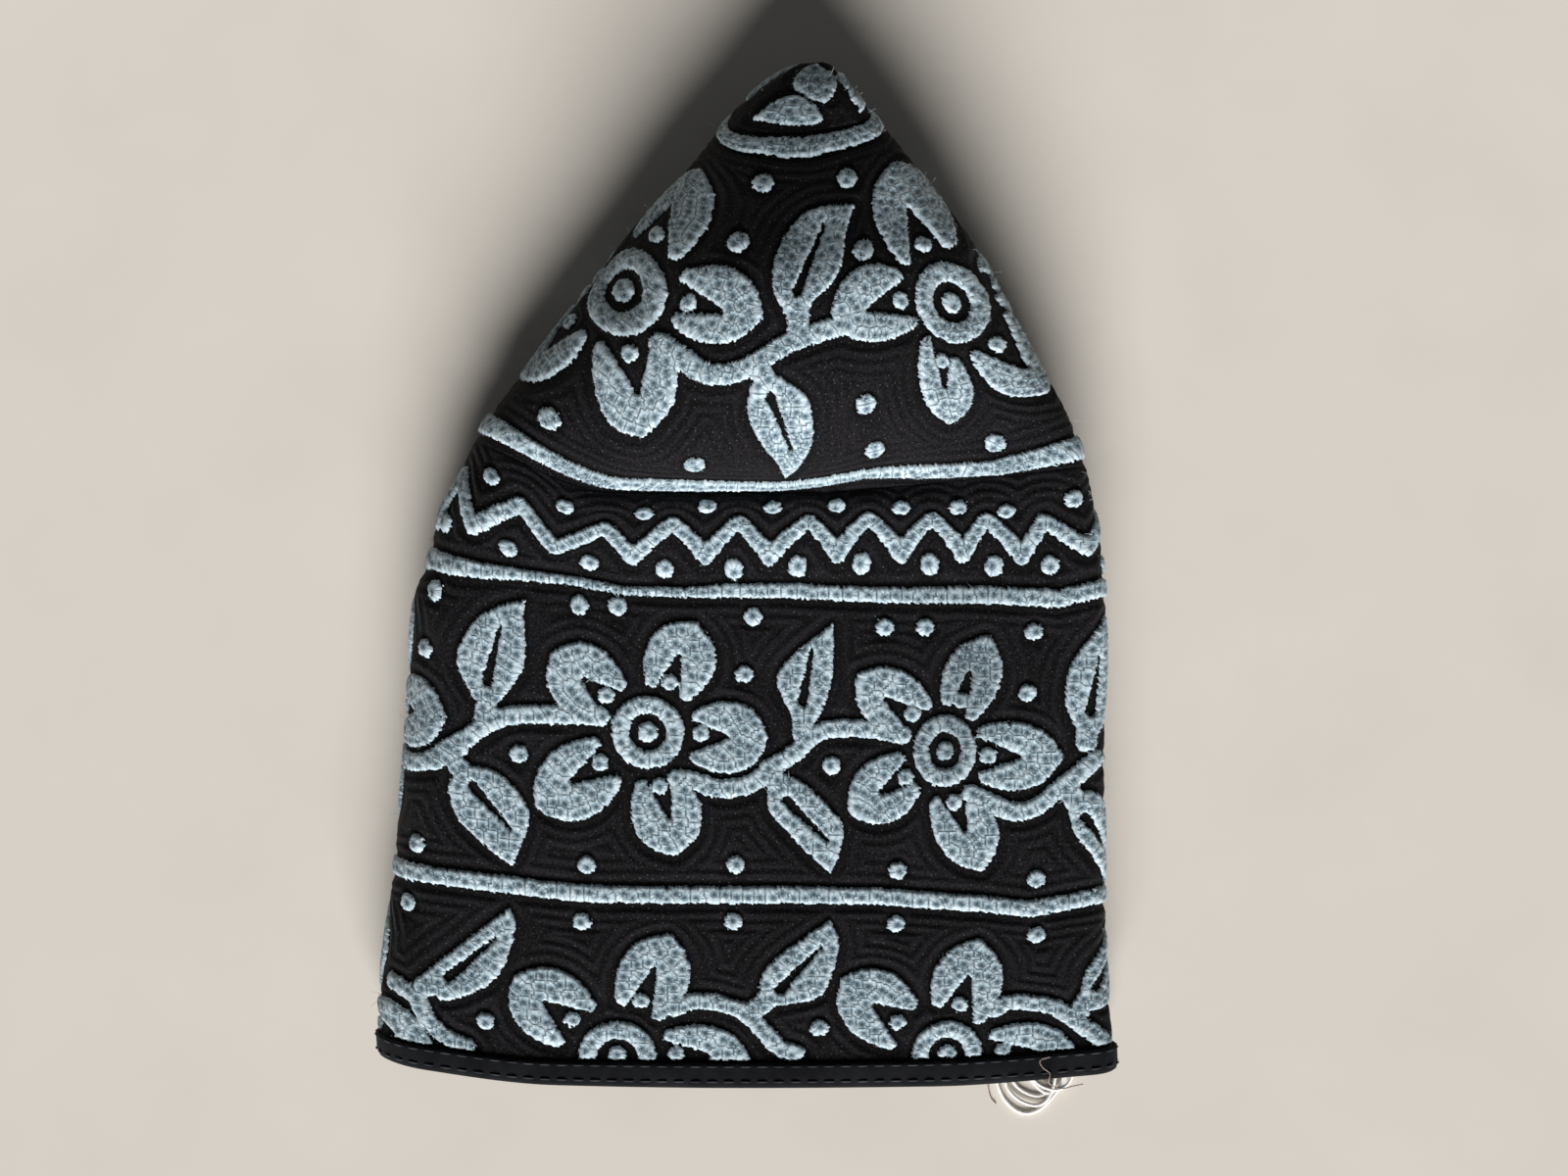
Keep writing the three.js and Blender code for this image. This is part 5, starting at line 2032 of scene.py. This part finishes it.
@dataclass
class HemBinding:
    """The black binding folded over the hem, with a line of running stitches near each of its edges."""

    cap: FoldedCap
    step_mm: float = 1.0
    pucker: float = 0.1
    pucker_pitch: float = 3.1
    face_height: float = 1.5  # from the band's middle to the binding's outer faces
    puckered_from: float = 1.2  # how far out the section puckers
    steady_from: Pair = (-1.4, -1.0)  # the lowest points read for the place round and the facing
    stitch_pitch_mm: float = 3.1
    stitch_length_mm: float = 2.1
    stitch_radius_mm: float = 0.2
    stitch_clearance: float = 0.12
    stitch_rows: tuple[float, ...] = (-0.7, 2.4)

    # The binding's section: the distance up from the hem, and the distance from the band's middle
    section: tuple[Pair, ...] = (
        (2.95, -0.95), (2.9, -1.3), (2.7, -1.48), (2.1, -1.52), (1.2, -1.5), (0.2, -1.5), (-1.2, -1.36),
        (-1.85, -1.08), (-2.17, -0.6), (-2.25, 0.0), (-2.17, 0.6), (-1.85, 1.08), (-1.2, 1.36), (0.2, 1.5),
        (1.2, 1.5), (2.1, 1.52), (2.7, 1.48), (2.9, 1.3), (2.95, 0.95), (2.0, 0.92), (-0.3, 0.92),
        (-0.3, -0.92), (2.0, -0.92),
    )

    def surface(self, along: Array, around_band: Array, offset: Array, lowest: float) -> Array:
        """Places points at a distance from the band's middle surface, in metres."""
        place_from, facing_from = self.steady_from
        around = BandChart(self.cap).around(np.stack([around_band, np.maximum(along, place_from)], axis=1))
        place = self.cap.middle_surface(along, around)
        place = place + self.cap.normals(np.maximum(along, facing_from), around) * offset[:, None]
        place[:, 2] = np.maximum(place[:, 2], lowest)
        return (place + FOOTPRINT_SHIFT) * MM

    def tape(self, material: Material) -> Piece:
        """Makes the binding itself, as one closed ring."""
        count, size = round(BAND_PERIOD / self.step_mm), len(self.section)
        along, offset = (np.tile(column, count) for column in np.array(self.section).T)
        where = np.repeat(np.arange(count) * BAND_PERIOD / count, size)
        wave = self.pucker * np.cos(2 * np.pi * where / self.pucker_pitch)
        offset = offset - np.sign(offset) * np.abs(wave * (np.abs(offset) > self.puckered_from))
        places = self.surface(along, where, offset, FLOOR_CLEARANCE)
        i, j = np.meshgrid(np.arange(count), np.arange(size), indexing="ij")
        a, b = i * size + j, ((i + 1) % count) * size + j
        c, d = ((i + 1) % count) * size + (j + 1) % size, i * size + (j + 1) % size
        faces = np.concatenate([np.stack(corners, -1).reshape(-1, 3) for corners in ((a, b, c), (a, c, d))])
        piece = make_object("hem_binding_tape", places, faces, material)
        face_outwards(piece)
        return piece

    def stitch_tree(self) -> NodeTree:
        """Builds the nodes that lay a running stitch along a line.

        Returns:
            A tree with inputs for the stitches' pitch, length and radius, and for their material.
        """
        tree = new_tree("running_stitch", {
            "Line": "Geometry", "Pitch": "Float", "Stitch Length": "Float", "Thread Radius": "Float",
            "Thread": "Material",
        }, "Stitches")
        given = add_node(tree, "NodeGroupInput").outputs
        curve = add_node(tree, "GeometryNodeMeshToCurve", {"Mesh": given["Line"]})
        spots = add_node(tree, "GeometryNodeResampleCurve", {"Curve": curve, "Length": given["Pitch"]},
                         mode="LENGTH")
        bead = add_node(tree, "GeometryNodeMeshIcoSphere", {"Radius": 1.0, "Subdivisions": 2})
        half = add_node(tree, "Math", {0: given["Stitch Length"], 1: 0.5}, operation="MULTIPLY")
        size = add_node(tree, "CombineXYZ",
                        {0: half, 1: given["Thread Radius"], 2: given["Thread Radius"]})
        tangent = add_node(tree, "GeometryNodeInputTangent")
        turn = add_node(tree, "FunctionNodeAlignRotationToVector", {"Vector": tangent}, axis="X")
        laid = add_node(tree, "GeometryNodeInstanceOnPoints",
                        {"Points": spots, "Instance": bead, "Rotation": turn, "Scale": size})
        real = add_node(tree, "GeometryNodeRealizeInstances", {"Geometry": laid})
        soft = add_node(tree, "GeometryNodeSetShadeSmooth", {0: real})
        dressed = add_node(tree, "GeometryNodeSetMaterial", {"Geometry": soft, "Material": given["Thread"]})
        add_node(tree, "NodeGroupOutput", {"Stitches": dressed})
        return tree

    def stitches(self, material: Material) -> Piece:
        """Lays the running stitches on the binding's outer side."""
        count, lowest = round(BAND_PERIOD), self.stitch_radius_mm + self.stitch_clearance
        columns = np.arange(count) * BAND_PERIOD / count
        lines = [
            self.surface(np.full(count, row), columns, np.full(count, self.face_height), lowest)
            for row in self.stitch_rows
        ]
        edges = [
            (k * count + i, k * count + (i + 1) % count) for k in range(len(lines)) for i in range(count)
        ]
        values = {
            "Pitch": self.stitch_pitch_mm * MM,
            "Stitch Length": self.stitch_length_mm * MM,
            "Thread Radius": self.stitch_radius_mm * MM,
            "Thread": material,
        }
        guide = make_guide("stitch_lines", np.concatenate(lines), edges)
        return grown(guide, self.stitch_tree(), values, "binding_stitches")


@dataclass
class LooseThreads:
    """What hangs loose at the cap's edges: white thread ends at the hem, and short fibres along the folds."""

    cap: FoldedCap
    steps: int = 6  # on each stretch of a thread's curve
    white_radius: float = 0.34
    white_sides: int = 8
    thin_radius: float = 0.11
    thin_sides: int = 6
    fibre_radius: float = 0.035
    fibre_sides: int = 3
    fibres: int = 200
    fibres_low: int = 66  # how many of them stand below low_end
    low_end: float = 105.0  # distance along the cloth
    tip_margin: float = 2.0  # how far from the crown's centre the last of them stands
    fibre_spread: float = 0.25  # how far round from an edge's middle
    fibre_lean: float = 0.55
    fibre_bend: float = 0.45
    fibre_length: Pair = (0.5, 1.7)
    fibre_shares: tuple[float, ...] = (0, 0.35, 0.7, 1.0)  # where along a fibre its points are
    seed: int = 5

    # Loops of white thread that come out of the hem and lie on the floor, as x, y and z in mm
    loops: tuple[tuple[Triple, ...], ...] = (
        ((48.0, -93.8, 1.6), (48.8, -98.5, 0.8), (50.8, -103.0, 0.35), (54.2, -105.4, 0.35),
         (57.6, -104.6, 0.5), (60.4, -101.6, 0.9), (62.4, -98.6, 0.8), (62.8, -93.8, 1.6)),
        ((49.6, -93.8, 1.6), (50.8, -99.6, 0.9), (53.2, -102.6, 0.9), (56.8, -103.8, 0.95),
         (59.2, -102.2, 0.95), (60.4, -98.4, 1.4), (60.2, -93.8, 1.6)),
        ((50.4, -93.8, 1.6), (52.4, -99.4, 0.4), (55.2, -101.6, 0.35), (57.8, -102.0, 0.35),
         (59.8, -100.4, 0.4), (61.4, -93.8, 1.6)),
        ((54.2, -93.8, 1.6), (56.0, -98.4, 1.2), (58.6, -100.3, 1.3), (61.4, -100.6, 1.1),
         (63.6, -98.6, 0.9), (64.4, -93.8, 1.6)),
        ((53.4, -93.8, 1.6), (55.6, -98.6, 0.6), (58.8, -101.4, 0.9), (61.8, -99.6, 0.7),
         (62.0, -93.8, 1.6)),
    )
    brown_end: tuple[Triple, ...] = (
        (47.3, -93.8, 1.6), (47.4, -99.0, 0.6), (47.9, -102.2, 0.16), (49.0, -103.7, 0.16),
    )
    pink_end: tuple[Triple, ...] = (
        (56.6, -89.4, 24.0), (54.8, -90.0, 24.3), (55.2, -91.2, 24.4), (56.6, -92.4, 24.3),
        (56.4, -94.0, 23.8), (57.6, -95.4, 21.6), (59.4, -96.0, 20.6), (61.4, -95.6, 20.4),
        (63.2, -95.2, 20.6),
    )

    def tube_tree(self) -> NodeTree:
        """Builds the nodes that sweep a round thread along lines.

        Returns:
            A tree with inputs for the thread's radius, its number of sides and its material.
        """
        tree = new_tree("loose_thread", {
            "Lines": "Geometry", "Thread Radius": "Float", "Sides": "Int", "Thread": "Material",
        }, "Threads")
        given = add_node(tree, "NodeGroupInput").outputs
        curve = add_node(tree, "GeometryNodeMeshToCurve", {"Mesh": given["Lines"]})
        ring = add_node(tree, "GeometryNodeCurvePrimitiveCircle",
                        {"Resolution": given["Sides"], "Radius": given["Thread Radius"]})
        swept = add_node(tree, "GeometryNodeCurveToMesh",
                         {"Curve": curve, "Profile Curve": ring, "Fill Caps": True})
        soft = add_node(tree, "GeometryNodeSetShadeSmooth", {0: swept})
        dressed = add_node(tree, "GeometryNodeSetMaterial", {"Geometry": soft, "Material": given["Thread"]})
        add_node(tree, "NodeGroupOutput", {"Threads": dressed})
        return tree

    def swept(self, name: str, lines: Sequence[Array], radius: float, sides: int,
              material: Material) -> Piece:
        """Sweeps a thread along lines of points, which are in the frame's millimetres."""
        starts = np.concatenate([[0], np.cumsum([len(line) for line in lines])])
        edges = [(a + i, a + i + 1) for a, line in zip(starts, lines) for i in range(len(line) - 1)]
        values = {"Thread Radius": radius * MM, "Sides": sides, "Thread": material}
        return grown(make_guide(name, np.concatenate(lines) * MM, edges), self.tube_tree(), values, name)

    def white(self, material: Material) -> Piece:
        """Lays the white loops."""
        lines = [curve_through(np.array(loop), self.steps) for loop in self.loops]
        return self.swept("white_thread_ends", lines, self.white_radius, self.white_sides, material)

    def coloured(self, material: Material) -> Piece:
        """Lays the two thin brown and pink ends."""
        lines = [curve_through(np.array(end), self.steps) for end in (self.brown_end, self.pink_end)]
        return self.swept("thin_thread_ends", lines, self.thin_radius, self.thin_sides, material)

    def fuzz(self, material: Material) -> Piece:
        """Sets short bent fibres along the folds and round the tip."""
        draw, count = np.random.default_rng(self.seed), self.fibres
        along = draw.uniform(self.low_end, CROWN_CENTRE - self.tip_margin, count)
        along[: self.fibres_low] = draw.uniform(LOWEST_STITCH, self.low_end, self.fibres_low)
        edge = draw.choice([0.0, PRESSED_EDGE], count)
        around = edge + draw.uniform(-self.fibre_spread, self.fibre_spread, count)
        around = np.mod(around, self.cap.stretches_in_section)
        out = self.cap.normals(along, around)
        root = self.cap.middle_surface(along, around) + out * self.cap.half_wall(along)[:, None]
        lean = out + draw.normal(0, self.fibre_lean, (count, 3))
        lean /= np.linalg.norm(lean, axis=1, keepdims=True)
        bend = draw.normal(0, self.fibre_bend, (count, 3))
        length = draw.uniform(*self.fibre_length, count)[:, None]
        lines = np.stack([
            root + lean * length * s + bend * length * s * s + FOOTPRINT_SHIFT for s in self.fibre_shares
        ], axis=1)
        lines[:, :, 2] = np.maximum(lines[:, :, 2], self.fibre_radius + FLOOR_CLEARANCE)
        return self.swept("edge_fibres", list(lines), self.fibre_radius, self.fibre_sides, material)


@dataclass
class Studio:
    """The floor, the lights and the camera."""

    camera_place: Triple = (0.00755, -0.00283, 0.426)
    lens: float = 50.0
    sensor: float = 36.0
    clip: Pair = (0.01, 20.0)
    floor_half: float = 6.0
    window_way: Triple = (0.05, -1.28, 0.74)  # from the cap to the window
    window_energy: float = 5.5
    window_angle: float = math.radians(36)
    window_colour: Triple = (1.0, 0.992, 0.985)
    room: str = "e9edf2"
    room_strength: float = 0.07
    wall: str = "d3ccc2"  # what the camera sees behind the floor

    def camera(self) -> None:
        """Puts the camera straight above the cap, as the photo was taken."""
        lens = bpy.data.cameras.new("camera")
        lens.lens, lens.sensor_width, lens.sensor_fit = self.lens, self.sensor, "HORIZONTAL"
        lens.clip_start, lens.clip_end = self.clip
        made = placed("camera", lens)
        made.location = self.camera_place
        bpy.context.scene.camera = made

    def floor(self, material: Material) -> Piece:
        """Lays the floor."""
        half = self.floor_half
        corners = np.array([(-half, -half, 0), (half, -half, 0), (half, half, 0), (-half, half, 0)])
        return make_object("floor", corners, np.array([(0, 1, 2), (0, 2, 3)]), material)

    def lights(self) -> None:
        """Sets a large soft window beyond the hem and a dim pale room round the cap."""
        key = bpy.data.lights.new("window", "SUN")
        key.energy, key.angle, key.color = self.window_energy, self.window_angle, self.window_colour
        made = placed("window", key)
        made.rotation_euler = (-Vector(self.window_way)).to_track_quat("-Z", "Y").to_euler()
        world = bpy.data.worlds.new("room")
        world.use_nodes = True
        tree = world.node_tree
        ground = tree.nodes["Background"]
        set_inputs(tree, ground, {"Color": linear(self.room), "Strength": self.room_strength})
        wall = add_node(tree, "Background", {"Color": linear(self.wall), "Strength": 1.0})
        ray = add_node(tree, "LightPath").outputs["Is Camera Ray"]
        seen = add_node(tree, "MixShader", {0: ray, 1: ground, 2: wall})
        set_inputs(tree, tree.nodes["World Output"], {"Surface": seen})
        bpy.context.scene.world = world
        bpy.context.scene.view_settings.view_transform = "Standard"


def declare(piece: Piece, slot: str, *nodes: str) -> None:
    """Makes a finished piece ride with the cap and stand for its nodes, which it hides."""
    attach(piece, "root")
    if nodes:
        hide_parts(*nodes)
    LOG.info("%s: %d faces", piece.name, len(piece.data.polygons))


def main(frame: dict[str, Any]) -> None:
    """Builds the cap piece by piece.
    """
    LOG.info("the frame has %s", sorted(frame["nodes"]))
    studio = Studio()
    studio.camera()
    studio.lights()
    studio.floor(PaintedBoard().material())

    cap = FoldedCap()
    cotton, tape = QuiltedCotton().material(), PlainCotton().material()
    finishes = EmbroideryThread().material(), LooseStrand().material()

    embroidery = Embroidery(cap)
    band_thread, crown_thread = embroidery.band(finishes), embroidery.crown(finishes)
    for piece in band_thread + crown_thread:
        declare(piece, "grey_blue_thread")

    cloth = Cloth(cap)
    band, crown = cloth.band(cotton), cloth.crown(cotton)
    declare(band, "black_cotton", "side_band")
    declare(crown, "black_cotton", "crown")

    binding = HemBinding(cap)
    sewing = PlainCotton("black_sewing_thread", base="2a2c30", worn="4a4d52").material()
    ring, stitches = binding.tape(tape), binding.stitches(sewing)
    declare(ring, "black_binding", "hem_binding")
    declare(stitches, "black_binding")

    loose = LooseThreads(cap)
    white = LooseStrand("white_cotton_end", "e8e4df", "fbf9f6").material()
    brown = LooseStrand("red_brown_cotton_end", "7d6560", "a5908c").material()
    lint = LooseStrand("pale_lint", "8f9294", "c9cccd").material()
    ends = [loose.white(white), loose.coloured(brown), loose.fuzz(lint)]
    for piece in ends:
        declare(piece, "grey_blue_thread")


if __name__ == "__main__":
    logging.basicConfig(level=logging.INFO, format="%(name)s: %(message)s")
    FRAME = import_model()
    main(FRAME)
